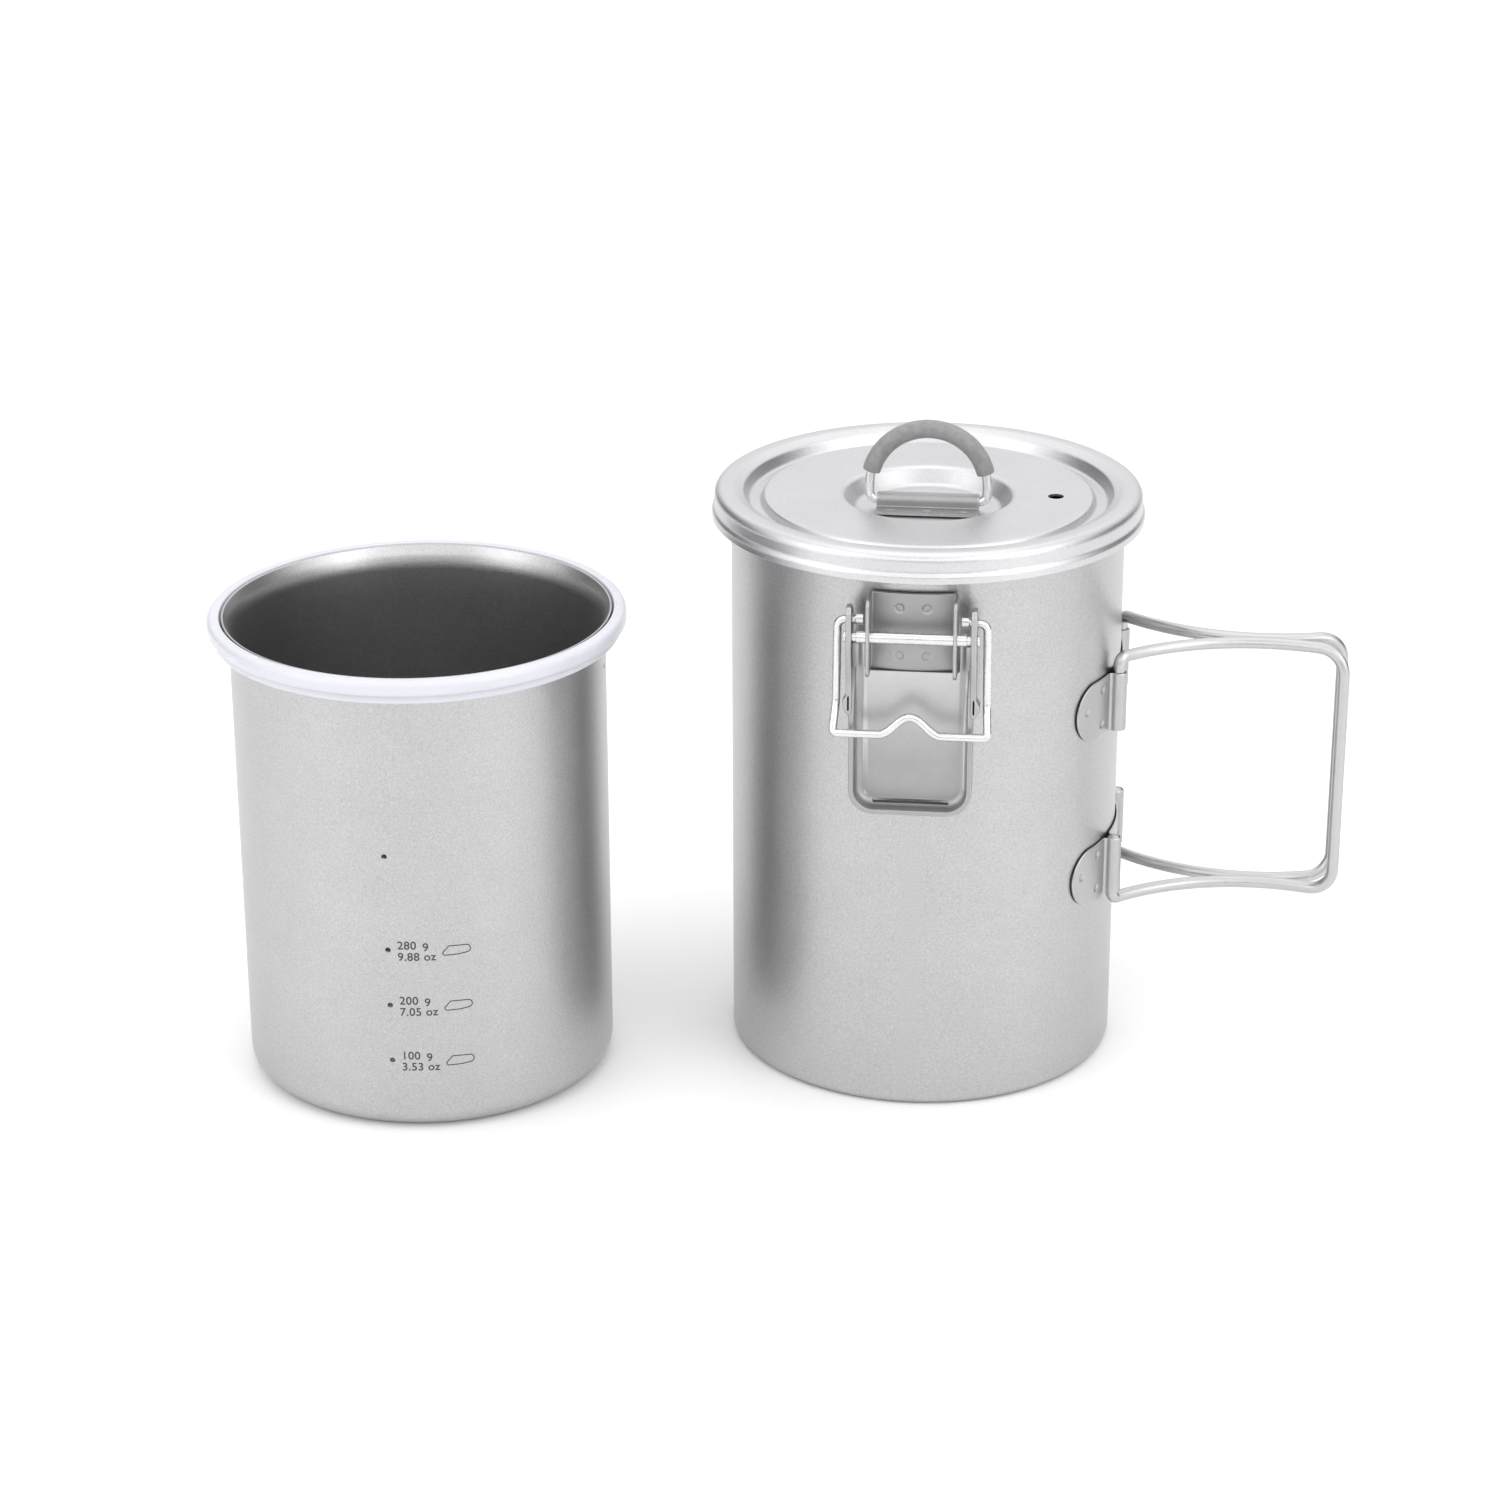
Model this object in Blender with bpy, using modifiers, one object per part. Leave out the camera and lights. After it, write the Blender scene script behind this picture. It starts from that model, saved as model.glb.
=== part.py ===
"""Camping cook pot set: an outer pot with two folding wire handles, two lever latches and a lift-off
lid with a folding ring, and a smaller inner pot with a silicone gasket, standing beside it.

Frame: +Z up, origin at the centre of the outer pot's base, front latch towards -Y, handles towards
+X. Lengths are written in millimetres and turned into metres by MM.
"""

import math

import bmesh
import bpy
from mathutils import Euler, Matrix, Vector

MM = 0.001

# Driving dimensions, millimetres and degrees
GAP = 0.3  # clearance between pieces that touch
POT_R = 50.0
POT_H = 149.6
POT_WALL = 0.6
POT_CORNER = 2.2
RIM_R = 53.0
LID_BASE = 143.2
LID_TOP = 150.7
LID_R = 54.9
LID_SHEET = 0.6
DISC_R = 41.4
RECESS_R = 21.5
VENT_X = 32.3
VENT_R = 2.0

INNER_AT = (-126.9, -29.6)
INNER_R = 47.5
INNER_H = 123.3
INNER_CORNER = 5.5
INNER_MOUTH_R = 48.3
MARK_HEIGHTS = (19.7, 35.0, 50.2, 75.5)
MARK_HOLE_R = 0.65
RIM_HOLE_Z = 109.5
GASKET_R = 52.9
GASKET_BASE = 117.4

HINGE_R = 52.4
HINGE_AZ = 17.5
SLEEVE_R = 2.1
SLEEVE_BORE = 1.68
UPPER_SLEEVE = (91.7, 107.2)
LOWER_SLEEVE = (47.0, 62.2)
D_PLATE_LENGTH = 18.8
HANDLE_WIRE = 1.5
HANDLE_TOP = 111.5
HANDLE_BASE = 44.9
HANDLE_REACH = 57.5
HANDLE_OPEN = 10.0  # angle of the open loop's chord, degrees inwards from straight out
HANDLE_ARC_R = 52.3

PIN_AT = (-56.0, 129.8)  # y, z of the lever's pin
BAIL_AT = (-53.3, 133.3)  # y, z of the bail's pivot
PIN_R = 1.55
PIN_TIP_R = 1.0
BRACKET_HALF = 11.1
BRACKET_Z = (119.6, 139.6)
LEVER_HALF = 15.2
EAR_HALF = 15.9
LEVER_SHEET = 1.3
LEVER_BASE = 83.2
LEVER_BACK = -51.0
LEVER_FRONT = -56.2
LEVER_CORNER = 6.3
BAIL_WIRE = 0.98
BAIL_HALF = 18.25
BAIL_HOOK = (-58.5, 105.5)  # y, z of the bail's crossbar
BAIL_BUMP = 4.8

RING_Z = 146.4
RING_HALF = 14.9
RING_ARCH_R = 14.9
RING_WIRE = 1.2
GRIP_R = 2.35
RECESS_FLOOR = 144.1
LID_BRACKET_HALF = 13.0

STEPS_BIG = 48
STEPS_SMALL = 16


def clear_scene():
    for obj in list(bpy.data.objects):
        bpy.data.objects.remove(obj, do_unlink=True)


def collection(name):
    made = bpy.data.collections.new(name)
    bpy.context.scene.collection.children.link(made)
    return made


def material(name, colour, metallic, roughness):
    made = bpy.data.materials.new(name)
    made.use_nodes = True
    shader = made.node_tree.nodes["Principled BSDF"]
    shader.inputs["Base Color"].default_value = (*colour, 1)
    shader.inputs["Metallic"].default_value = metallic
    shader.inputs["Roughness"].default_value = roughness
    return made


def place(obj, where, made_of=None, at=(0, 0, 0), turn=(0, 0, 0)):
    """Links obj, with its origin at the point `at` in millimetres and turned by `turn` in degrees."""
    where.objects.link(obj)
    obj.location = Vector(at) * MM
    obj.rotation_euler = Euler([math.radians(a) for a in turn])
    if made_of:
        obj.data.materials.append(made_of)
    if obj.type == "MESH":
        obj.data.shade_smooth()
        obj.data.set_sharp_from_angle(angle=math.radians(35))
    return obj


def as_cutter(obj):
    obj.hide_render = True
    obj.display_type = "WIRE"
    return obj


def boolean(obj, other, operation):
    modifier = obj.modifiers.new(operation.lower() + "_" + other.name, "BOOLEAN")
    modifier.operation = operation
    modifier.object = as_cutter(other)


def mesh_object(name, build):
    """An object whose mesh `build(bm)` makes in millimetres about the object's origin."""
    bm = bmesh.new()
    build(bm)
    bmesh.ops.scale(bm, vec=(MM, MM, MM), verts=bm.verts)
    bmesh.ops.recalc_face_normals(bm, faces=bm.faces)
    mesh = bpy.data.meshes.new(name)
    bm.to_mesh(mesh)
    bm.free()
    return bpy.data.objects.new(name, mesh)


def arc(centre, radius, start, end, steps):
    """Points of an arc in a plane, from the angle start to end in degrees."""
    angles = [math.radians(start + (end - start) * i / steps) for i in range(steps + 1)]
    return [(centre[0] + radius * math.cos(a), centre[1] + radius * math.sin(a)) for a in angles]


def turned(name, profile, steps, closed=False):
    """A profile of (radius, height) points turned about Z: up the inside, then down the outside."""
    bm = bmesh.new()
    verts = [bm.verts.new((r * MM, 0, z * MM)) for r, z in profile]
    for a, b in zip(verts, verts[1:] + verts[:1] if closed else verts[1:]):
        bm.edges.new((a, b))
    mesh = bpy.data.meshes.new(name)
    bm.to_mesh(mesh)
    bm.free()
    obj = bpy.data.objects.new(name, mesh)
    screw = obj.modifiers.new("turn", "SCREW")
    screw.steps = screw.render_steps = steps
    screw.use_merge_vertices = True
    screw.merge_threshold = 0.00001
    screw.use_smooth_shade = True
    return obj


def cylinder(name, radius, length, steps=STEPS_SMALL):
    """A cylinder about Z, centred on its origin."""

    def build(bm):
        bmesh.ops.create_cone(
            bm, cap_ends=True, segments=steps, radius1=radius, radius2=radius, depth=length
        )

    return mesh_object(name, build)


def box(name, low, high):
    def build(bm):
        bmesh.ops.create_cube(bm, size=1)
        for vert in bm.verts:
            for axis in range(3):
                vert.co[axis] = high[axis] if vert.co[axis] > 0 else low[axis]

    return mesh_object(name, build)


def outline(name, points, low, high, plane):
    """A flat outline extruded from low to high: plane "XZ" extrudes along Y, "YZ" along X."""

    def build(bm):
        flat = [(a, low, b) if plane == "XZ" else (low, a, b) for a, b in points]
        face = bm.faces.new([bm.verts.new(p) for p in flat])
        grown = bmesh.ops.extrude_face_region(bm, geom=[face])["geom"]
        along = (0, high - low, 0) if plane == "XZ" else (high - low, 0, 0)
        moved = [g for g in grown if isinstance(g, bmesh.types.BMVert)]
        bmesh.ops.translate(bm, vec=along, verts=moved)

    return mesh_object(name, build)


def wire(name, points, radius, where, made_of, at=(0, 0, 0), turn=(0, 0, 0), closed=False):
    """A round wire along points given in millimetres from its origin."""
    curve = bpy.data.curves.new(name, "CURVE")
    curve.dimensions = "3D"
    curve.bevel_depth = radius * MM
    curve.bevel_resolution = 2
    curve.use_fill_caps = not closed
    spline = curve.splines.new("POLY")
    spline.points.add(len(points) - 1)
    for point, co in zip(spline.points, points):
        point.co = (*(Vector(co) * MM), 1)
    spline.use_cyclic_u = closed
    return place(bpy.data.objects.new(name, curve), where, made_of, at, turn)


def curve_to_mesh(obj, where):
    """The curve's evaluated shape as a mesh object of the same name, with its caps welded."""
    bpy.context.view_layer.update()
    graph = bpy.context.evaluated_depsgraph_get()
    mesh = bpy.data.meshes.new_from_object(obj.evaluated_get(graph))
    bm = bmesh.new()
    bm.from_mesh(mesh)
    bmesh.ops.remove_doubles(bm, verts=bm.verts, dist=0.000001)
    bm.to_mesh(mesh)
    bm.free()
    name = obj.name
    obj.name = name + "_curve"
    made = bpy.data.objects.new(name, mesh)
    made.matrix_world = obj.matrix_world
    where.objects.link(made)
    bpy.data.objects.remove(obj, do_unlink=True)
    return made


def rounded(points, radius, steps=4):
    """The path through points with each inner corner rounded to the radius."""
    path = [Vector(points[0])]
    for before, corner, after in zip(points, points[1:], points[2:]):
        corner = Vector(corner)
        to_before = (Vector(before) - corner).normalized()
        to_after = (Vector(after) - corner).normalized()
        half = to_before.angle(to_after) / 2
        reach = radius / math.tan(half)
        centre = corner + (to_before + to_after).normalized() * (radius / math.sin(half))
        start = corner + to_before * reach - centre
        end = corner + to_after * reach - centre
        turn = start.rotation_difference(end)
        for i in range(steps + 1):
            share = Vector(start)
            share.rotate(part_of(turn, i / steps))
            path.append(centre + share)
    path.append(Vector(points[-1]))
    return path


def part_of(turn, share):
    """The rotation `turn` done by only this share."""
    axis, angle = turn.to_axis_angle()
    return Matrix.Rotation(angle * share, 3, axis)


# ---------------------------------------------------------------- pots and lid


def outer_pot(parts, titanium):
    """A thin straight-sided pot with a small base corner and a rim rolled outwards under the lid."""
    inner = POT_R - POT_WALL
    roll = 1.5
    profile = [(0, POT_WALL)]
    profile += arc((inner - POT_CORNER, POT_WALL + POT_CORNER), POT_CORNER, -90, 0, 3)
    profile += [(inner, 143.6), (inner + 0.9, 146.6)]
    profile += arc((RIM_R - roll, POT_H - roll), roll, 140, -50, 5)
    profile += [(POT_R + 1.0, 146.0), (POT_R, 143.4)]
    profile += arc((POT_R - POT_CORNER, POT_CORNER), POT_CORNER, 0, -90, 3)
    profile += [(0, 0)]
    return place(turned("outer_pot", profile, STEPS_BIG), parts, titanium)


def lid(parts, cutters, titanium):
    """A pressed lid: skirt with a beaded edge, flat ring, channel, raised disc and a round recess."""
    top, channel, disc = LID_TOP, 147.9, 148.5
    shoulder = 2.4
    skirt = LID_R - 0.6
    outside = [(0, RECESS_FLOOR), (RECESS_R - 2.5, RECESS_FLOOR), (RECESS_R - 1.2, RECESS_FLOOR + 0.9)]
    outside += [(RECESS_R - 0.5, disc - 0.9), (RECESS_R + 0.7, disc)]
    outside += [(DISC_R - 1.0, disc), (DISC_R, disc - 0.3), (DISC_R + 0.8, channel)]
    outside += [(45.9, channel), (46.7, channel + 0.8), (46.9, top - 0.9), (47.8, top)]
    outside += arc((skirt - shoulder, top - shoulder), shoulder, 90, 0, 4)
    outside += [(skirt, 145.6), (LID_R, 145.1), (LID_R, LID_BASE + 0.3), (LID_R - 0.3, LID_BASE)]
    t = LID_SHEET
    inside = [(skirt - t, LID_BASE), (skirt - t, top - shoulder)]
    inside += arc((skirt - shoulder, top - shoulder), shoulder - t, 30, 90, 2)
    inside += [(48.4, top - t), (47.5, top - 1.2), (47.3, channel), (46.3, channel - t)]
    inside += [(DISC_R + 0.5, channel - t), (DISC_R - 0.6, disc - t), (RECESS_R + 1.0, disc - t)]
    inside += [(RECESS_R + 0.1, disc - 1.2), (RECESS_R - 0.6, RECESS_FLOOR + 0.4)]
    inside += [(RECESS_R - 2.2, RECESS_FLOOR - t), (0, RECESS_FLOOR - t)]
    made = place(turned("lid", outside + inside, STEPS_BIG), parts, titanium)
    vent = place(cylinder("vent_cutter", VENT_R, 6), cutters, at=(VENT_X, 0, disc))
    boolean(made, vent, "DIFFERENCE")
    return made


def inner_pot(parts, cutters, titanium):
    """A deep pot with a rounded base and a slightly flared mouth, drilled at its measure marks."""
    wall = INNER_R - POT_WALL
    corner = INNER_CORNER
    profile = [(0, POT_WALL)]
    profile += arc((INNER_R - corner, corner), corner - POT_WALL, -90, 0, 4)
    profile += [(wall, INNER_H - 4), (INNER_MOUTH_R - 0.5, INNER_H - 0.3)]
    profile += [(INNER_MOUTH_R - 0.2, INNER_H), (INNER_MOUTH_R, INNER_H - 0.3)]
    profile += [(INNER_R, INNER_H - 4.2)]
    profile += arc((INNER_R - corner, corner), corner, 0, -90, 4)
    profile += [(0, 0)]
    made = place(turned("inner_pot", profile, STEPS_BIG), parts, titanium, (*INNER_AT, 0))
    for i, height in enumerate(MARK_HEIGHTS):
        at = (INNER_AT[0], INNER_AT[1] - INNER_R, height)
        hole = place(cylinder(f"mark_cutter_{i}", MARK_HOLE_R, 4, 8), cutters, at=at, turn=(90, 0, 0))
        boolean(made, hole, "DIFFERENCE")
    at = (INNER_AT[0] + INNER_R, INNER_AT[1], RIM_HOLE_Z)
    rim_hole = place(cylinder("rim_hole_cutter", MARK_HOLE_R, 4, 8), cutters, at=at, turn=(0, 90, 0))
    boolean(made, rim_hole, "DIFFERENCE")
    return made


def gasket_ring(parts, silicone):
    """The inner pot's seal: a soft ring with a bulge above and a narrower lip below."""
    hold = INNER_R + GAP
    base, top = GASKET_BASE, INNER_H + 0.2
    profile = [(hold, base), (hold, INNER_H - 4.2), (INNER_MOUTH_R + GAP, INNER_H - 0.6)]
    profile += [(INNER_MOUTH_R + GAP + 0.2, top)]
    profile += [(GASKET_R - 1.6, top)]
    profile += arc((GASKET_R - 1.6, top - 1.6), 1.6, 60, 0, 2)
    profile += [(GASKET_R, base + 2.9), (GASKET_R - 1.5, base + 2.1), (GASKET_R - 1.5, base + 0.5)]
    profile += [(GASKET_R - 2.0, base)]
    return place(turned("gasket_ring", profile, STEPS_BIG, closed=True), parts, silicone, (*INNER_AT, 0))


# ---------------------------------------------------------------- lid ring


def lid_bracket(parts, cutters, steel):
    """A folded strip in the lid's recess, rolled over the ring's bar, with a welded front flange."""
    roll = RING_WIRE + 0.15
    sheet = 0.6
    outer = roll + sheet
    floor = RECESS_FLOOR + GAP
    half = LID_BRACKET_HALF
    loop = arc((0, RING_Z), outer, 180, 0, 6)
    loop += [(outer, floor), (-7.0, floor), (-7.0, floor + sheet), (-outer, floor + sheet)]
    made = outline("lid_bracket", loop, -half, half, "YZ")
    place(made, parts, steel)
    bore = cylinder("ring_bore_cutter", roll, 2 * half + 2)
    place(bore, cutters, at=(0, 0, RING_Z), turn=(0, 90, 0))
    boolean(made, bore, "DIFFERENCE")
    return made


def ring_arch(start, end, steps):
    """Points of the ring's arch about the bar, from one angle to another."""
    legs = 4.0
    return [(x, 0, z + legs) for x, z in arc((0, 0), RING_ARCH_R, start, end, steps)]


def lid_ring(parts, steel):
    """The D-shaped wire ring, standing up: its straight bar turns in the lid's bracket."""
    corner = 1.7
    bar = [(-RING_HALF, 0, 4.0), (-RING_HALF, 0, 0), (RING_HALF, 0, 0), (RING_HALF, 0, 4.0)]
    path = rounded(bar, corner, 3)[1:-1] + ring_arch(0, 180, 14)
    return wire("lid_ring", path, RING_WIRE, parts, steel, at=(0, 0, RING_Z), closed=True)


def ring_grip(parts, cutters, silicone):
    """The soft sleeve over the ring's arch."""
    sleeve = wire("ring_grip", ring_arch(14, 166, 12), GRIP_R, parts, None, at=(0, 0, RING_Z))
    sleeve = curve_to_mesh(sleeve, parts)
    sleeve.data.materials.append(silicone)
    bore_r = RING_WIRE + 0.15
    bore = wire("grip_bore_cutter", ring_arch(4, 176, 14), bore_r, cutters, None, at=(0, 0, RING_Z))
    boolean(sleeve, curve_to_mesh(bore, cutters), "DIFFERENCE")
    return sleeve


# ---------------------------------------------------------------- latches


def latch_bracket(side, turn, parts, cutters, steel):
    """A plate curved to the pot with two ears that hold the lever's pin."""
    sheet = 0.8
    low, high = BRACKET_Z
    half = BRACKET_HALF
    reach = math.degrees(math.asin(half / POT_R))

    def build(bm):
        bmesh.ops.create_grid(bm, x_segments=6, y_segments=1, size=1)
        for vert in bm.verts:
            angle = math.radians(-90 + vert.co.x * reach)
            height = high if vert.co.y > 0 else low
            radius = POT_R + GAP
            vert.co = (radius * math.cos(angle), radius * math.sin(angle), height)

    made = mesh_object(side + "_latch_bracket", build)
    grow = made.modifiers.new("sheet", "SOLIDIFY")
    grow.thickness = sheet * MM
    grow.offset = 1 if made.data.polygons[0].normal.y < 0 else -1
    place(made, parts, steel, turn=(0, 0, turn))
    back, front = -POT_R + 0.2, -58.2
    cut_off = 2.0
    ear = [(back, low), (front + cut_off, low), (front, low + cut_off)]
    ear += [(front, high - cut_off), (front + cut_off, high), (back, high)]
    for hand in (-1, 1):
        x = sorted((hand * half, hand * (half - 1.0)))
        name = f"{side}_bracket_ear_{'left' if hand < 0 else 'right'}"
        side_plate = place(outline(name, ear, *x, "YZ"), cutters, turn=(0, 0, turn))
        boolean(made, side_plate, "UNION")
    hole = cylinder(side + "_bracket_bore_cutter", PIN_R + 0.2, 3 * half)
    boolean(made, across(hole, cutters, PIN_AT, turn), "DIFFERENCE")
    return made


def across(obj, where, at, turn):
    """Places a piece made about Z along the latch's width at (y, z), turned to the latch's side."""
    spot = Matrix.Rotation(math.radians(turn), 3, "Z") @ Vector((0, *at))
    return place(obj, where, at=spot, turn=(0, 90, turn))


def latch_pin(side, turn, parts, steel):
    """The lever's pin, stepped down at its ends where it goes through the lever's ears."""
    main, tip = 13.9, 16.6
    profile = [(0, tip), (PIN_TIP_R, tip), (PIN_TIP_R, main), (PIN_R, main)]
    profile += [(PIN_R, -main), (PIN_TIP_R, -main), (PIN_TIP_R, -tip), (0, -tip)]
    made = across(turned(side + "_latch_pin", profile, STEPS_SMALL), parts, PIN_AT, turn)
    made.data.materials.append(steel)
    return made


def tray_outline(inset, top):
    """The lever's outline, open at the top: straight sides and two round bottom corners."""
    half, base = LEVER_HALF - inset, LEVER_BASE + inset
    corner = LEVER_CORNER - inset
    path = [(-half, top)]
    path += arc((-half + corner, base + corner), corner, 180, 270, 4)
    path += arc((half - corner, base + corner), corner, 270, 360, 4)
    return path + [(half, top)]


def lever_pieces(side):
    """The lever's flat pan and its turned-out frame, ears and bumps, each as (y, z) or (x, z) plates."""
    back, front, top = LEVER_BACK, LEVER_FRONT, 116.0
    pan_top, slot = BRACKET_Z[0] - 0.8, BRACKET_HALF + 0.6
    rod = PIN_AT[1] - 3.0
    pan = tray_outline(0.2, rod)
    pan = pan + [(slot, rod), (slot, pan_top), (-slot, pan_top), (-slot, rod)]
    yield outline(side + "_lever", pan, back - 0.8, back, "XZ")
    frame = tray_outline(0, top) + list(reversed(tray_outline(LEVER_SHEET, top)))
    yield outline(side + "_lever_frame", frame, front, back, "XZ")
    y, z = PIN_AT
    ear = [(back, 110.0), (back, z + 5.3), (y + 1.6, z + 8.0), (y - 1.4, z + 8.0), (y - 2.6, z + 6.6)]
    ear += [(y - 2.6, z - 1.6), (front, z - 11.0), (front, 110.0)]
    for hand in (-1, 1):
        x = sorted((hand * EAR_HALF, hand * (EAR_HALF - 1.5)))
        name = f"{side}_lever_ear_{'left' if hand < 0 else 'right'}"
        yield outline(name, ear, *x, "YZ")
        bump = [(hand * (EAR_HALF - 0.9), 109.6), (hand * 16.9, 112.2), (hand * (EAR_HALF - 0.9), 114.8)]
        yield outline(name + "_bump", bump, front, back - 1.2, "XZ")


def lever(side, turn, parts, cutters, steel):
    """The latch's lever: a shallow tray that lies on the pot and turns on the pin."""
    pieces = list(lever_pieces(side))
    spot = Matrix.Rotation(math.radians(turn), 3, "Z") @ Vector((0, *PIN_AT))
    offset = Matrix.Translation(-Vector((0, *PIN_AT)) * MM)
    made = pieces[0]
    for piece in pieces:
        piece.data.transform(offset)
        where = parts if piece is made else cutters
        place(piece, where, steel if piece is made else None, spot, (0, 0, turn))
        if piece is not made:
            boolean(made, piece, "UNION")
    pin_hole = cylinder(side + "_lever_pin_cutter", PIN_TIP_R + 0.25, 40)
    boolean(made, across(pin_hole, cutters, PIN_AT, turn), "DIFFERENCE")
    bail_hole = cylinder(side + "_lever_bail_cutter", BAIL_WIRE + 0.25, 40)
    boolean(made, across(bail_hole, cutters, BAIL_AT, turn), "DIFFERENCE")
    slot = box(side + "_lever_slot_cutter", (-9.5, LEVER_BACK - 2, 85.0), (9.5, LEVER_BACK + 1, 85.9))
    boolean(made, place(slot, cutters, turn=(0, 0, turn)), "DIFFERENCE")
    return made


def bail_path():
    """The bail's wire about its pivot: two hooked sides and a crossbar with a raised middle."""
    hook_y, hook_z = BAIL_HOOK[0] - BAIL_AT[0], BAIL_HOOK[1] - BAIL_AT[1]
    bump_half, points = 7.6, 10
    left = [(-12.9, 0, 0), (-BAIL_HALF, 0, 0), (-BAIL_HALF, 0, hook_z + 5.5), (-19.2, hook_y, hook_z)]
    left += [(-bump_half, hook_y, hook_z)]
    left = rounded(left, 1.9, 3)
    bump = []
    for i in range(points + 1):
        x = bump_half * (2 * i / points - 1)
        bump.append((x, hook_y, hook_z + BAIL_BUMP * (0.5 + 0.5 * math.cos(math.pi * x / bump_half))))
    right = [(-x, y, z) for x, y, z in reversed(left)]
    return left[:-1] + bump + right[1:]


def bail(side, turn, parts, steel):
    spot = Matrix.Rotation(math.radians(turn), 3, "Z") @ Vector((0, *BAIL_AT))
    return wire(side + "_bail", bail_path(), BAIL_WIRE, parts, steel, at=spot, turn=(0, 0, turn))


# ---------------------------------------------------------------- handles


def hinge_strap(name, span, parts, cutters, steel):
    """A strap curved to the pot, with D-shaped ends, that passes over both handles' wires as sleeves."""
    low, high = span
    middle, half = (low + high) / 2, (high - low) / 2
    sheet = 0.45
    radius = POT_R + GAP
    end = math.radians(HINGE_AZ) * radius + D_PLATE_LENGTH
    straight = end - half

    def build(bm):
        bmesh.ops.create_grid(bm, x_segments=44, y_segments=1, size=1)
        for vert in bm.verts:
            along = vert.co.x * end
            past = max(0.0, abs(along) - straight) / (half + 0.02)
            tall = half * math.sqrt(max(0.004, 1 - past * past))
            height = middle + (tall if vert.co.y > 0 else -tall)
            vert.co = (radius * math.cos(along / radius), radius * math.sin(along / radius), height)

    made = mesh_object(name, build)
    grow = made.modifiers.new("sheet", "SOLIDIFY")
    grow.thickness = sheet * MM
    grow.offset = 1 if made.data.polygons[0].normal.x > 0 else -1
    place(made, parts, steel)
    for hand in (-1, 1):
        at = (*hinge_axis(hand), middle)
        label = f"{name}_{'front' if hand < 0 else 'rear'}"
        sleeve = place(cylinder(label + "_sleeve", SLEEVE_R, high - low - 0.1), cutters, at=at)
        boolean(made, sleeve, "UNION")
        bore = place(cylinder(label + "_bore_cutter", SLEEVE_BORE, high - low + 4), cutters, at=at)
        boolean(made, bore, "DIFFERENCE")
    return made


def hinge_axis(hand):
    """Where a handle's upright hinge axis stands: hand is -1 for the front loop and 1 for the rear."""
    angle = math.radians(HINGE_AZ)
    return HINGE_R * math.cos(angle), hand * HINGE_R * math.sin(angle)


def handle(name, hand, parts, steel):
    """A C-shaped wire loop, swung out: its arms follow the pot's curve, so that it can fold flat."""
    middle = (HANDLE_TOP + HANDLE_BASE) / 2
    tall = (HANDLE_TOP - HANDLE_BASE) / 2
    sweep = 2 * math.asin(HANDLE_REACH / (2 * HANDLE_ARC_R))
    length = sweep * HANDLE_ARC_R
    small, large = 1.9, 6.5

    def plan(along):
        """A point of the arm in plan, at this length from the hinge, in the open position."""
        turned_by = along / HANDLE_ARC_R
        chord = 2 * HANDLE_ARC_R * math.sin(turned_by / 2)
        heading = math.radians(HANDLE_OPEN) + (sweep - turned_by) / 2
        return chord * math.cos(heading), -hand * chord * math.sin(heading)

    half = [(0, UPPER_SLEEVE[0] - middle - 0.5)]
    half += [(small + x, tall - small + z) for x, z in arc((0, 0), small, 180, 90, 4)]
    arm = 12
    half += [(small + (length - small - large) * i / arm, tall) for i in range(1, arm)]
    half += [(length - large + x, tall - large + z) for x, z in arc((0, 0), large, 90, 0, 5)]
    lower = [(along, -up) for along, up in reversed(half)]
    lower[-1] = (0, LOWER_SLEEVE[1] - middle + 0.5)
    path = [(*plan(along), up) for along, up in half + lower]
    return wire(name, path, HANDLE_WIRE, parts, steel, at=(*hinge_axis(hand), middle))


def main():
    clear_scene()
    parts = collection("camping_cook_pot_set")
    cutters = collection("cutters")
    titanium = material("sandblasted_titanium", (0.55, 0.55, 0.55), 1.0, 0.45)
    steel = material("bright_steel", (0.75, 0.75, 0.76), 1.0, 0.25)
    clear = material("clear_silicone", (0.85, 0.86, 0.9), 0.0, 0.35)
    grey = material("grey_silicone", (0.3, 0.3, 0.31), 0.0, 0.6)

    outer_pot(parts, titanium)
    inner_pot(parts, cutters, titanium)
    gasket_ring(parts, clear)
    lid(parts, cutters, titanium)
    lid_bracket(parts, cutters, steel)
    lid_ring(parts, steel)
    ring_grip(parts, cutters, grey)
    for side, turn in (("front", 0), ("rear", 180)):
        latch_bracket(side, turn, parts, cutters, steel)
        latch_pin(side, turn, parts, steel)
        lever(side, turn, parts, cutters, steel)
        bail(side, turn, parts, steel)
    hinge_strap("upper_hinge_strap", UPPER_SLEEVE, parts, cutters, steel)
    hinge_strap("lower_hinge_strap", LOWER_SLEEVE, parts, cutters, steel)
    for side, hand in (("front", -1), ("rear", 1)):
        handle(side + "_handle", hand, parts, steel)
    bpy.context.view_layer.update()


main()
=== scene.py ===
"""Camping cook pot set: fine surfaces, materials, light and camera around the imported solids.

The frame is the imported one: +Z up, origin at the centre of the outer pot's base, front latch
towards -Y, handles towards +X. Shapes are written in millimetres and degrees, and turned into
metres as each mesh is made. The camera, the lights and the floor are in metres.
"""

import math

import bmesh
import bpy
from mathutils import Euler, Matrix, Vector


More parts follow.
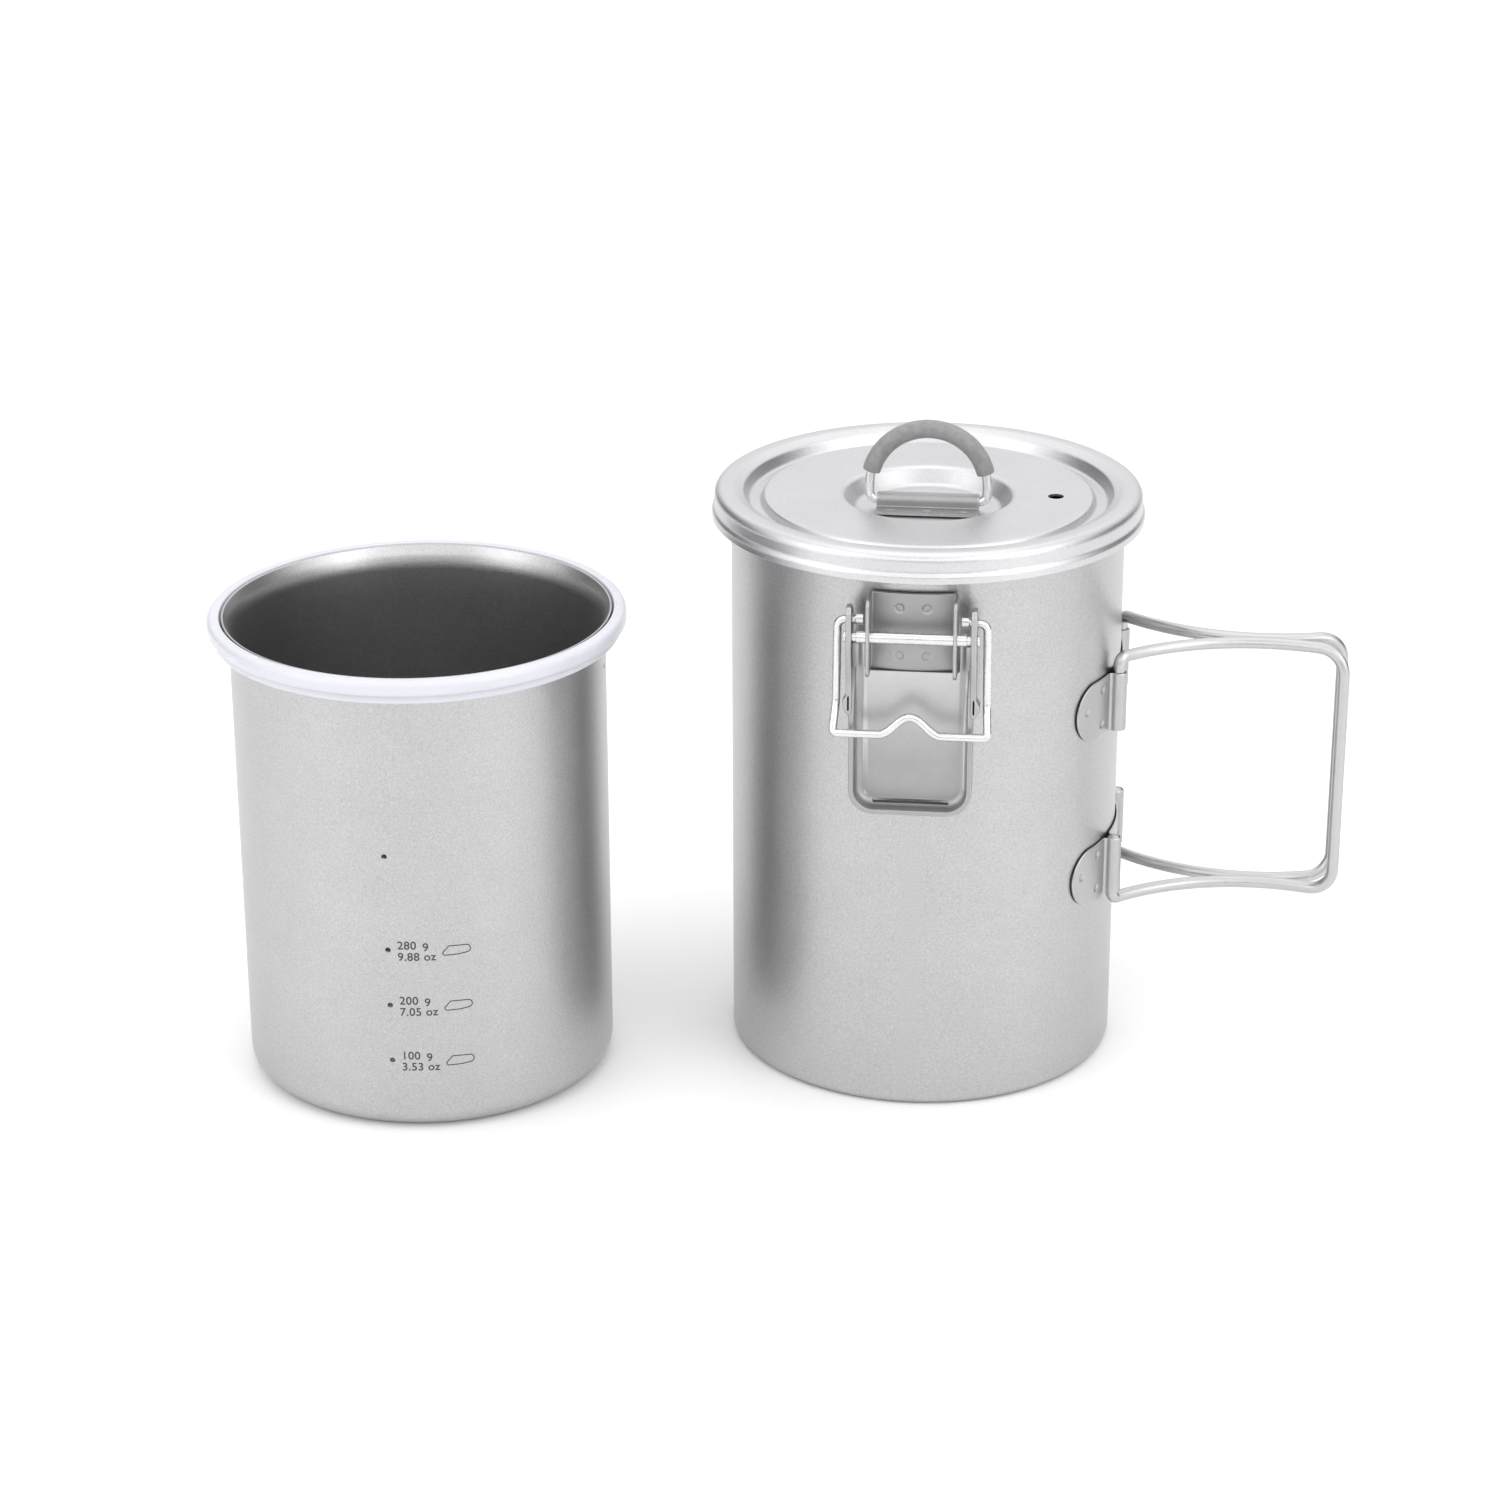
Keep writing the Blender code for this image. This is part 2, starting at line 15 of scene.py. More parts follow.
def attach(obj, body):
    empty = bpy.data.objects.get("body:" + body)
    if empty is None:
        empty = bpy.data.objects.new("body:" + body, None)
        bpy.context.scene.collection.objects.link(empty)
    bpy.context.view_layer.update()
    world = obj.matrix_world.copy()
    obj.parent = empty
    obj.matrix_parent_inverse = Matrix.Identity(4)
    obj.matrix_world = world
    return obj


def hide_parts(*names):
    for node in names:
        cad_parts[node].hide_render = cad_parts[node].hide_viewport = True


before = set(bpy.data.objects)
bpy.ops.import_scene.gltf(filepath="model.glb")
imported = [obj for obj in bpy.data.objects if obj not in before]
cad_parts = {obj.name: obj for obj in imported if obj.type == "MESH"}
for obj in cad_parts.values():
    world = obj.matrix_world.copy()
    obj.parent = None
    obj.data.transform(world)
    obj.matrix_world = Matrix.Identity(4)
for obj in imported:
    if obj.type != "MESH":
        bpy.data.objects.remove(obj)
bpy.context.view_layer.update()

MM = 0.001
SEGMENTS = 240  # facets round a turned piece
WIRE_SIDES = 24
ON_AXIS = 0.001  # a radius below this is a point on the axis
WELD_GAP = 0.3  # between the pots' walls and the pieces welded to them

# Outer pot and lid
POT_R, POT_H, POT_WALL, POT_CORNER, RIM_R = 50.0, 149.6, 0.6, 2.2, 53.0
LID_BASE, LID_TOP, LID_R, LID_SHEET = 143.2, 150.7, 54.9, 0.6
DISC_R, DISC_Z, CHANNEL_Z = 41.4, 148.5, 146.5
RECESS_FLOOR = 144.1
VENT_X, VENT_R = 32.3, 2.0

# Inner pot
INNER_AT = (-126.9, -29.6)
INNER_R, INNER_H, INNER_CORNER, INNER_MOUTH_R = 47.5, 123.3, 5.5, 49.3
MARK_HEIGHTS = (19.7, 35.0, 50.2, 75.5)
MARK_HOLE_R, RIM_HOLE_Z = 0.7, 109.5
MARK_ALONG = -0.8  # how far round the wall from its front the marks' holes are
GRAIN_LINE = 0.27
GASKET_R, GASKET_BASE = 52.9, 117.4

# Handles and their hinge straps
HINGE_R, HINGE_AZ = 52.4, 17.5
UPPER_SLEEVE, LOWER_SLEEVE = (92.3, 107.8), (47.2, 62.4)
STRAP_SHEET, D_END, SLEEVE_FILLET = 0.45, 17.7, 0.9
HANDLE_WIRE, HANDLE_TOP, HANDLE_BASE = 1.5, 111.5, 44.9
HANDLE_REACH, HANDLE_ARC_R, HANDLE_OPEN = 57.5, 52.3, 10.0

# Latches: places are (y, z) on the front latch
PIN_AT, BAIL_AT = (-56.0, 129.8), (-53.3, 133.3)
BRACKET_HALF, BRACKET_Z, BRACKET_SHEET, BRACKET_FRONT = 11.1, (119.6, 139.6), 0.9, -58.2
LEVER_HALF, EAR_HALF, LEVER_SHEET, LEVER_CORNER = 15.2, 15.9, 1.3, 6.3
LEVER_BASE, LEVER_TOP, LEVER_BACK, LEVER_FRONT = 83.2, 126.6, -51.0, -56.2
LEVER_PAN, LEVER_FILLET, LEVER_EDGE = 0.8, 1.9, 0.38
EAR_SHEET, EAR_ROUNDING = 1.4, 0.35
BAIL_WIRE, BAIL_HALF, BAIL_HOOK, BAIL_BUMP = 1.05, 18.25, (-58.5, 105.5), 4.8

# Lid ring
RING_Z, RING_LEG, RING_HALF, RING_ARCH_R = 146.4, 4.0, 14.9, 14.9
RING_WIRE, GRIP_R = 1.2, 2.35
LID_BRACKET_HALF, LID_BRACKET_FRONT, LID_BRACKET_SHEET = 13.0, -7.0, 0.6

# Weld dimples: radius, width of the slope, depth
RINGED_DIMPLE, BOWL_DIMPLE = (1.35, 0.5, 0.32), (1.4, 1.1, 0.3)
DIMPLE_FLAT, DIMPLE_STEP, DIMPLE_RISE = 0.85, 0.35, 0.45  # a ringed dimple's raised middle

# Sheet metal: about how far apart its points are, and its rounded edge as pairs of a distance
# from the edge and the share of the thickness left there
SHEET_PITCH = 0.2
SHEET_ROUNDING = ((0.0, 0.35), (0.05, 0.7), (0.13, 0.93), (0.22, 1.0))

# Print: half its thickness, and how much its strokes are fattened
PRINT_DEPTH, PRINT_WEIGHT = 0.012, 0.045

# Camera, in metres and degrees
CAMERA_PLACE = (0.05781, -0.9230, 0.45702)
CAMERA_TURN, CAMERA_PITCH, CAMERA_ROLL = 6.4, 22.311, -0.1807
CAMERA_LENS, CAMERA_SENSOR = 91.94, 36.0


# ---------------------------------------------------------------- outlines and paths


def arc(centre, radius, start, end, step=6.0):
    """Points of an arc in a plane, from the angle start to end in degrees."""
    count = max(2, math.ceil(abs(end - start) / step))
    angles = [math.radians(start + (end - start) * i / count) for i in range(count + 1)]
    return [(centre[0] + radius * math.cos(a), centre[1] + radius * math.sin(a)) for a in angles]


def soft(points, step=10.0, closed=False):
    """The path through points of any dimension, with its corners rounded.

    A point is (place, radius), with radius 0 for a sharp corner.
    """
    places = [Vector(place) for place, _ in points]
    path = []
    for i, (_, radius) in enumerate(points):
        inner = closed or 0 < i < len(points) - 1
        if not inner or radius == 0:
            path.append(places[i])
            continue
        corner = places[i]
        to_before = places[i - 1] - corner
        to_after = places[(i + 1) % len(points)] - corner
        room = 0.49 * min(to_before.length, to_after.length)
        to_before.normalize()
        to_after.normalize()
        half = to_before.angle(to_after) / 2
        if half > math.radians(89):
            path.append(corner)
            continue
        reach = min(radius / math.tan(half), room)
        fitted = reach * math.tan(half)
        middle = (to_before + to_after).normalized()
        centre = corner + middle * (fitted / math.sin(half))
        sideways = (to_after - to_before).normalized()
        sweep_half = math.pi / 2 - half
        count = max(2, math.ceil(math.degrees(2 * sweep_half) / step))
        for k in range(count + 1):
            angle = sweep_half * (2 * k / count - 1)
            path.append(centre - middle * fitted * math.cos(angle) + sideways * fitted * math.sin(angle))
    return path


def dense(outline, pitch):
    """A closed outline with points added, so that none are further apart than pitch."""
    points = []
    for start, end in zip(outline, outline[1:] + outline[:1]):
        count = max(1, math.ceil((end - start).length / pitch))
        points += [start.lerp(end, i / count) for i in range(count)]
    return points


def shrunk(outline, inset):
    """A closed outline moved inwards by inset, for small insets and dense outlines."""
    points = [Vector(p) for p in outline]
    area = sum(a.x * b.y - b.x * a.y for a, b in zip(points, points[1:] + points[:1]))
    inward = 1 if area > 0 else -1
    moved = []
    for i, point in enumerate(points):
        ahead = (points[(i + 1) % len(points)] - point).normalized()
        behind = (point - points[i - 1]).normalized()
        along = (ahead + behind).normalized()
        square = max(0.5, along.dot(ahead))
        moved.append(point + Vector((-along.y, along.x)) * (inward * inset / square))
    return moved


def running_lengths(path):
    """The length of the path up to each of its points."""
    lengths = [0.0]
    for a, b in zip(path, path[1:]):
        lengths.append(lengths[-1] + (Vector(b) - Vector(a)).length)
    return lengths


# ---------------------------------------------------------------- meshes


def finished(name, bm, finish, sharp=32.0):
    """Turns a mesh in millimetres into a smooth-shaded object in metres."""
    bmesh.ops.remove_doubles(bm, verts=bm.verts, dist=0.0005)
    bmesh.ops.scale(bm, vec=(MM, MM, MM), verts=bm.verts)
    bmesh.ops.recalc_face_normals(bm, faces=bm.faces)
    mesh = bpy.data.meshes.new(name)
    bm.to_mesh(mesh)
    bm.free()
    mesh.materials.append(finish)
    obj = bpy.data.objects.new(name, mesh)
    bpy.context.scene.collection.objects.link(obj)
    smooth(obj, sharp)
    return obj


def smooth(obj, sharp=32.0):
    """Smooth shading, with a hard edge where faces meet at more than `sharp` degrees."""
    obj.data.shade_smooth()
    obj.data.set_sharp_from_angle(angle=math.radians(sharp))


def loft(bm, rings, closed=False, around=True, caps=False):
    """Faces between rings of the same number of points; a ring of one point closes to a tip."""
    made = [[bm.verts.new(p) for p in ring] for ring in rings]
    for low, high in zip(made, made[1:] + (made[:1] if closed else [])):
        count = max(len(low), len(high))
        for i in range(count if around else count - 1):
            j = (i + 1) % count
            corners = (low[i % len(low)], low[j % len(low)], high[j % len(high)], high[i % len(high)])
            bm.faces.new(list(dict.fromkeys(corners)))
    if caps:
        bm.faces.new(list(reversed(made[0])))
        bm.faces.new(made[-1])
    return made


def circle(radius, sides):
    """Points round a circle in a plane, or only its centre where it is a point on the axis."""
    if radius < ON_AXIS:
        return [(0.0, 0.0)]
    turns = [2 * math.pi * i / sides for i in range(sides)]
    return [(radius * math.cos(a), radius * math.sin(a)) for a in turns]


def lathe(name, profile, finish, at=(0, 0), closed=False):
    """A profile of (radius, height) points turned about an upright axis at the plan point `at`."""
    bm = bmesh.new()
    rings = []
    for radius, height in profile:
        rings.append([(at[0] + x, at[1] + y, height) for x, y in circle(radius, SEGMENTS)])
    loft(bm, rings, closed=closed)
    return finished(name, bm, finish)


def cut(obj, cutter):
    """Takes the cutter's shape out of obj for good."""
    change = obj.modifiers.new("cut", "BOOLEAN")
    change.operation = "DIFFERENCE"
    change.object = cutter
    bpy.context.view_layer.update()
    graph = bpy.context.evaluated_depsgraph_get()
    mesh = bpy.data.meshes.new_from_object(obj.evaluated_get(graph))
    obj.modifiers.clear()
    obj.data = mesh
    bpy.data.objects.remove(cutter, do_unlink=True)
    smooth(obj)


def drill(obj, at, radius, length, turn=(0, 0, 0)):
    """Drills a round hole through obj, along the Z axis turned by `turn` degrees."""
    bm = bmesh.new()
    bmesh.ops.create_cone(
        bm, cap_ends=True, segments=32, radius1=radius * MM, radius2=radius * MM, depth=length * MM
    )
    mesh = bpy.data.meshes.new("drill")
    bm.to_mesh(mesh)
    bm.free()
    tool = bpy.data.objects.new("drill", mesh)
    bpy.context.scene.collection.objects.link(tool)
    tool.location = Vector(at) * MM
    tool.rotation_euler = Euler([math.radians(a) for a in turn])
    cut(obj, tool)


def round_section(radius, sides=WIRE_SIDES):
    """A round wire's section, with a flat and not a corner at each side."""
    turns = [2 * math.pi * (i + 0.5) / sides for i in range(sides)]
    return [(radius * math.cos(a), radius * math.sin(a)) for a in turns]


def square_section(radius, power=2.35, sides=32):
    """A square section with its corners well rounded, as wide as the round wire."""
    points = []
    for i in range(sides):
        a = 2 * math.pi * (i + 0.5) / sides
        c, s = math.cos(a), math.sin(a)
        reach = (abs(c) ** power + abs(s) ** power) ** (-1 / power)
        points.append((radius * reach * c, radius * reach * s))
    return points


def sweep(bm, path, section, up=(0, 0, 1), closed=False, tip=0.35, shape=None):
    """A wire along path. `shape` gives (wide, tall) factors by length from the nearer end."""
    path = [Vector(p) for p in path]
    count = len(path)
    tangents = []
    for i in range(count):
        before = path[i - 1] if closed or i else path[i]
        after = path[(i + 1) % count] if closed or i < count - 1 else path[i]
        tangents.append((after - before).normalized())
    tall = Vector(up)
    tall = (tall - tangents[0] * tall.dot(tangents[0])).normalized()
    frames = []
    for tangent, before in zip(tangents, tangents[:1] + tangents[:-1]):
        tall = tall.copy()
        tall.rotate(before.rotation_difference(tangent))
        tall = (tall - tangent * tall.dot(tangent)).normalized()
        frames.append((tangent.cross(tall), tall))
    lengths = running_lengths(path)
    rings = []
    for i, (wide, tall) in enumerate(frames):
        by = shape(min(lengths[i], lengths[-1] - lengths[i])) if shape else (1, 1)
        rings.append([path[i] + wide * (a * by[0]) + tall * (b * by[1]) for a, b in section])
    if closed:
        loft(bm, rings, closed=True)
        return
    radius = max(abs(a) for a, _ in section)
    start, end = [], []
    for angle in (75, 50, 25):
        inward, out = math.cos(math.radians(90 - angle)), math.sin(math.radians(90 - angle))
        start.append(capped(rings[0], path[0], -tangents[0], inward, out * radius * tip))
        end.insert(0, capped(rings[-1], path[-1], tangents[-1], inward, out * radius * tip))
    tips = [[path[0] - tangents[0] * radius * tip], [path[-1] + tangents[-1] * radius * tip]]
    loft(bm, [tips[0]] + start[::-1] + rings + end[::-1] + [tips[1]])


def capped(ring, centre, outward, scale, push):
    """A wire's last ring, made smaller and pushed outward, for its rounded end."""
    return [centre + (p - centre) * scale + outward * push for p in ring]


def wire(name, path, section, finish, **options):
    """A finished wire; the options are those of sweep."""
    bm = bmesh.new()
    sweep(bm, path, section, **options)
    return finished(name, bm, finish)


def plate(bm, outline, low, high, edge, to_world):
    """A flat plate with its edges rounded over by `edge`; to_world(a, b, depth) places it."""
    lower_edge = []
    for turn in (0, 30, 60, 90):
        inset = edge * (1 - math.sin(math.radians(turn)))
        lower_edge.append((inset, low + edge * (1 - math.cos(math.radians(turn)))))
    upper_edge = [(inset, low + high - depth) for inset, depth in reversed(lower_edge)]
    rings = []
    for inset, depth in lower_edge + upper_edge:
        rings.append([to_world(p.x, p.y, depth) for p in shrunk(outline, inset)])
    loft(bm, rings, caps=True)


def dent_depth(place, dents, ringed):
    """How deep the weld dimples press a point in: a smooth bowl, or a ring pressed round a flat spot."""
    radius, slope, deep = RINGED_DIMPLE if ringed else BOWL_DIMPLE
    for dent in dents:
        reach = math.dist(place, dent)
        if reach < radius:
            share = min(1.0, (radius - reach) / slope)
            raised = DIMPLE_RISE * min(1.0, max(0.0, (DIMPLE_FLAT - reach) / DIMPLE_STEP)) if ringed else 0
            return deep * share * share * (3 - 2 * share) * (1 - raised)
    return 0.0


def strip_stops(total, corner):
    """Lengths along a strip where it gets points: close together round its corners, even between."""
    ends = [corner * (1 - math.cos(math.radians(a))) for a in range(0, 90, 2)]
    straight = total - 2 * corner
    inner = max(1, round(straight / SHEET_PITCH))
    stops = ends + [corner + straight * i / inner for i in range(inner + 1)]
    return stops + [total - e for e in reversed(ends)]


def strip_rows(tall, inside):
    """Points across a strip, from -tall to tall: (place, share of the thickness left there)."""
    edges = [(tall - inset, share) for inset, share in SHEET_ROUNDING if inset < tall]
    limit = tall - SHEET_ROUNDING[-1][0]
    rows = [(-w, share) for w, share in edges]
    rows += [(limit * (2 * k / inside - 1), 1.0) for k in range(1, inside)]
    return rows + [(w, share) for w, share in reversed(edges)]


def border(rings):
    """The points round the outside of a grid of faces, in order."""
    points = [ring[0] for ring in rings] + rings[-1][1:] + [ring[-1] for ring in reversed(rings[:-1])]
    return points + list(reversed(rings[0]))[1:-1]


def sheet_strip(name, path, span, corner, sheet, finish, to_world, dents=(), ringed=True):
    """Bent sheet metal: `path` is its middle line in a plane, and span its low and high edge across.

    The outer face is on the right of the path. Both ends have corners of the radius `corner`.
    """
    path = [Vector(p) for p in path]
    lengths = running_lengths(path)
    total = lengths[-1]
    middle, half = (span[0] + span[1]) / 2, (span[1] - span[0]) / 2
    inside = max(2, round(2 * half / SHEET_PITCH))
    faces = {1: [], -1: []}
    index = 0
    for stop in strip_stops(total, corner):
        while index < len(lengths) - 2 and lengths[index + 1] < stop:
            index += 1
        run = path[index + 1] - path[index]
        place = path[index] + run * ((stop - lengths[index]) / run.length)
        ahead = path[min(index + 2, len(path) - 1)] - path[max(index - 1, 0)]
        ahead = (ahead.normalized() + run.normalized()).normalized()
        normal = Vector((ahead.y, -ahead.x))
        from_end = min(stop, total - stop)
        tall = half
        if from_end < corner:
            tall = half - corner + math.sqrt(max(0.0, corner**2 - (corner - from_end) ** 2))
        tall = max(tall, 0.3)
        thin = next(share for inset, share in reversed(SHEET_ROUNDING) if from_end >= inset)
        rows = strip_rows(tall, inside)
        for side in (1, -1):
            ring = []
            for w, share in rows:
                off = side * sheet / 2 * min(share, thin)
                if side == 1:
                    off -= dent_depth((stop, middle + w), dents, ringed)
                spot = place + normal * off
                ring.append(to_world(spot.x, spot.y, middle + w))
            faces[side].append(ring)
    bm = bmesh.new()
    rim = border(loft(bm, faces[1], around=False))
    back = border(loft(bm, faces[-1], around=False))
    for i in range(len(rim)):
        j = (i + 1) % len(rim)
        bm.faces.new((rim[i], rim[j], back[j], back[i]))
    return finished(name, bm, finish, 50)


# ---------------------------------------------------------------- materials


class Nodes:
    """A material's nodes, made one after another with few words."""

    def __init__(self, name):
        self.material = bpy.data.materials.new(name)
        self.material.use_nodes = True
        self.tree = self.material.node_tree
        self.shader = self.tree.nodes["Principled BSDF"]
        self.place = self.add("ShaderNodeTexCoord").outputs["Object"]

    def add(self, kind, inputs=None, **settings):
        node = self.tree.nodes.new(kind)
        for key, value in settings.items():
            setattr(node, key, value)
        for key, value in (inputs or {}).items():
            self.feed(node.inputs[key], value)
        return node

    def feed(self, socket, value):
        """Links the value to the socket if it is an output, and sets it if it is a number or colour."""
        if isinstance(value, bpy.types.NodeSocket):
            self.tree.links.new(value, socket)
        else:
            socket.default_value = value

    def set(self, **values):
        """Feeds the shader's own sockets, with _ for the spaces in their names."""
        for key, value in values.items():
            self.feed(self.shader.inputs[key.replace("_", " ")], value)

    def stretched(self, by):
        """The place on the object, scaled by this much along each axis."""
        return self.add("ShaderNodeMapping", {"Vector": self.place, "Scale": by}).outputs["Vector"]

    def noise(self, size, detail=2.0, rough=0.5, vector=None):
        """Noise whose features are about `size` millimetres across."""
        inputs = {"Vector": vector or self.place, "Scale": 1 / (size * MM)}
        inputs |= {"Detail": detail, "Roughness": rough}
        return self.add("ShaderNodeTexNoise", inputs).outputs["Fac"]

    def spread(self, value, low, high, start=0.3, end=0.7):
        """Maps noise from start..end to low..high."""
        inputs = {"Value": value, "From Min": start, "From Max": end, "To Min": low, "To Max": high}
        return self.add("ShaderNodeMapRange", inputs).outputs["Result"]

    def product(self, a, b):
        return self.add("ShaderNodeMath", {0: a, 1: b}, operation="MULTIPLY").outputs["Value"]

    def tinted(self, value, colour):
        """A grey value between 0 and 1 turned into the colour scaled by it."""
        inputs = {"Factor": value, "A": (0, 0, 0, 1), "B": (*colour, 1)}
        node = self.add("ShaderNodeMix", data_type="RGBA")
        for socket in node.inputs:
            if socket.enabled and socket.name in inputs:
                self.feed(socket, inputs[socket.name])
        return next(s for s in node.outputs if s.enabled and s.name == "Result")

    def bump(self, height, depth, strength=1.0, under=None):
        """A bump `depth` millimetres high, over another bump if there is one under it."""
        inputs = {"Height": height, "Distance": depth * MM, "Strength": strength}
        if under:
            inputs["Normal"] = under
        return self.add("ShaderNodeBump", inputs).outputs["Normal"]

    def edges(self, low, high):
        """The share of edge: 0 on flat surfaces and 1 on the sharpest outer edges."""
        pointiness = self.add("ShaderNodeNewGeometry").outputs["Pointiness"]
        return self.spread(pointiness, 0.0, 1.0, low, high)


def blasted_titanium(name, colour, rough, grain):
    """Sand-blasted sheet: fine pits that sparkle a little, soft clouds and faint turning lines."""
    made = Nodes(name)
    pits = made.noise(0.42, 3.0, 0.7)
    clouds = made.noise(14.0, 2.0)
    lines = made.noise(1.0, 2.0, vector=made.stretched((0.06, 0.06, 1.0)))
    tone = made.product(made.spread(pits, 1 - grain, 1.0), made.spread(clouds, 0.965, 1.0))
    tone = made.product(tone, made.spread(lines, 0.985, 1.0))
    edge_share = made.product(made.edges(0.53, 0.62), made.noise(2.0, 3.0))
    dull = made.spread(pits, rough * 0.92, rough * 1.12)
    gloss = made.product(dull, made.spread(edge_share, 1.0, 0.75, 0.2, 0.8))
    made.set(Base_Color=made.tinted(tone, colour), Metallic=1.0, Roughness=gloss)
    low = made.bump(clouds, 0.02, 0.3)
    made.set(Normal=made.bump(pits, 0.04, 0.5, low))
    return made.material


def satin_plate(name, colour, rough):
    """Stamped plate, tumbled to a fine even grain, with cloudy patches and a painted highlight that
    lightens its edges.
    """
    made = Nodes(name)
    grain = made.noise(0.26, 3.0, 0.65)
    smears = made.noise(5.0, 3.0)
    tone = made.product(made.spread(grain, 0.86, 1.0), made.spread(smears, 0.95, 1.0))
    edge_share = made.edges(0.51, 0.57)
    # Painted highlight: the colour is lighter on the sharp outer edges and 0.7 times as dark on flat faces.
    tone = made.product(tone, made.spread(edge_share, 0.7, 1.0, 0.0, 1.0))
    dull = made.spread(grain, rough * 0.92, rough * 1.1)
    gloss = made.product(dull, made.spread(edge_share, 1.0, 0.7, 0.0, 1.0))
    made.set(Base_Color=made.tinted(tone, colour), Metallic=1.0, Roughness=gloss)
    made.set(Normal=made.bump(grain, 0.025, 0.4, made.bump(smears, 0.02, 0.2)))
    return made.material


def drawn_wire(name, colour, rough):
    """Drawn wire: bright and smooth, with a faint soft grain and small scuffs."""
    made = Nodes(name)
    grain = made.noise(0.7, 2.0, 0.5)
    scuffs = made.noise(3.5, 2.0, 0.5)
    tone = made.product(made.spread(grain, 0.95, 1.0), made.spread(scuffs, 0.94, 1.0))
    dull = made.spread(scuffs, rough * 0.85, rough * 1.2)
    gloss = made.product(dull, made.spread(grain, 0.95, 1.06))
    made.set(Base_Color=made.tinted(tone, colour), Metallic=1.0, Roughness=gloss)
    made.set(Normal=made.bump(scuffs, 0.004, 0.15))
    return made.material


def clear_silicone():
    """Milky translucent silicone with faint flow marks and a smooth skin."""
    made = Nodes("milky_silicone")
    flow = made.noise(14.0, 1.0, vector=made.stretched((1.0, 1.0, 3.0)))
    dust = made.noise(0.4, 2.0)
    tone = made.product(made.spread(flow, 0.96, 1.0), made.spread(dust, 0.98, 1.0))
    made.set(Base_Color=made.tinted(tone, (0.63, 0.63, 0.685)), Roughness=made.spread(flow, 0.26, 0.34))
    made.set(Subsurface_Weight=0.15, Subsurface_Scale=0.001, IOR=1.41)
    made.shader.inputs["Subsurface Radius"].default_value = (1.0, 1.0, 1.15)
    made.set(Coat_Weight=0.25, Coat_Roughness=0.12, Normal=made.bump(dust, 0.01, 0.2))
    return made.material


def grey_silicone():
    """Soft grey sleeve: rubbed streaks along it, fine dust and a dull skin."""
    made = Nodes("grey_silicone")
    streaks = made.noise(0.9, 3.0, 0.6, made.stretched((0.5, 1.0, 0.5)))
    dust = made.noise(0.3, 3.0, 0.7)
    tone = made.product(made.spread(streaks, 0.74, 1.0), made.spread(dust, 0.86, 1.0))
    made.set(Base_Color=made.tinted(tone, (0.31, 0.31, 0.315)), Roughness=made.spread(streaks, 0.4, 0.58))
    made.set(Sheen_Weight=0.25, Sheen_Roughness=0.4, IOR=1.43)
    made.set(Normal=made.bump(dust, 0.03, 0.35, made.bump(streaks, 0.05, 0.3)))
    return made.material


def printed_ink():
    """Thin grey print, a little uneven."""
    made = Nodes("grey_print")
    patchy = made.noise(0.35, 3.0, 0.7)
    made.set(Base_Color=made.tinted(made.spread(patchy, 0.75, 1.0), (0.055, 0.055, 0.06)))
    made.set(Roughness=made.spread(patchy, 0.5, 0.7), Normal=made.bump(patchy, 0.01, 0.3))
    return made.material


titanium = blasted_titanium("blasted_titanium", (0.59, 0.59, 0.592), 0.34, 0.30)
# Painted light: the lid gets a lighter copy of the pot's titanium, with fainter pits, for the brighter
# light on its upward faces.
lit_lid_titanium = blasted_titanium("blasted_titanium_lid", (0.69, 0.69, 0.704), 0.36, 0.16)
# Partly painted shade: the latch plates and the lid bracket get a darker tone than the straps of the same
# sheet metal. The tone stands both for their smoother finish and for the shade in their recesses.
shaded_plate_metal = satin_plate("satin_plate", (0.61, 0.61, 0.61), 0.48)
strap_metal = satin_plate("satin_strap", (0.74, 0.74, 0.74), 0.34)
handle_metal = drawn_wire("handle_wire", (0.55, 0.55, 0.552), 0.36)
bright_metal = drawn_wire("bright_wire", (0.76, 0.76, 0.762), 0.27)
gasket_rubber = clear_silicone()
grip_rubber = grey_silicone()
ink = printed_ink()


def belongs(obj, body, slot, *nodes):
    """The piece moves with the body and stands for the nodes. The slot is not used."""
    if nodes:
        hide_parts(*nodes)
    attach(obj, body)


# ---------------------------------------------------------------- pots and lid


def outer_pot():
    """A straight pot with a small flare and a rolled rim under the lid."""
    inner, roll = POT_R - POT_WALL, 1.5
    profile = [(0, POT_WALL)]
    profile += arc((inner - POT_CORNER, POT_WALL + POT_CORNER), POT_CORNER, -90, 0, 9)
    flare = [((inner, 120), 0), ((inner, 144.2), 3.0), ((inner + 1.3, 147.0), 1.0)]
    profile += [tuple(p) for p in soft(flare)]
    profile += arc((RIM_R - roll, POT_H - roll), roll, 150, -70, 12)
    profile += [(POT_R + 1.1, 146.2), (POT_R + 0.35, 144.8), (POT_R, 143.4), (POT_R, 75.0)]
    profile += arc((POT_R - POT_CORNER, POT_CORNER), POT_CORNER, 0, -90, 7.5)
    profile += [(POT_R - 6.0, 0.0), (POT_R - 7.2, 0.45), (0, 0.45)]
    belongs(lathe("outer_pot_shell", profile, titanium), "root", "titanium", "outer_pot")


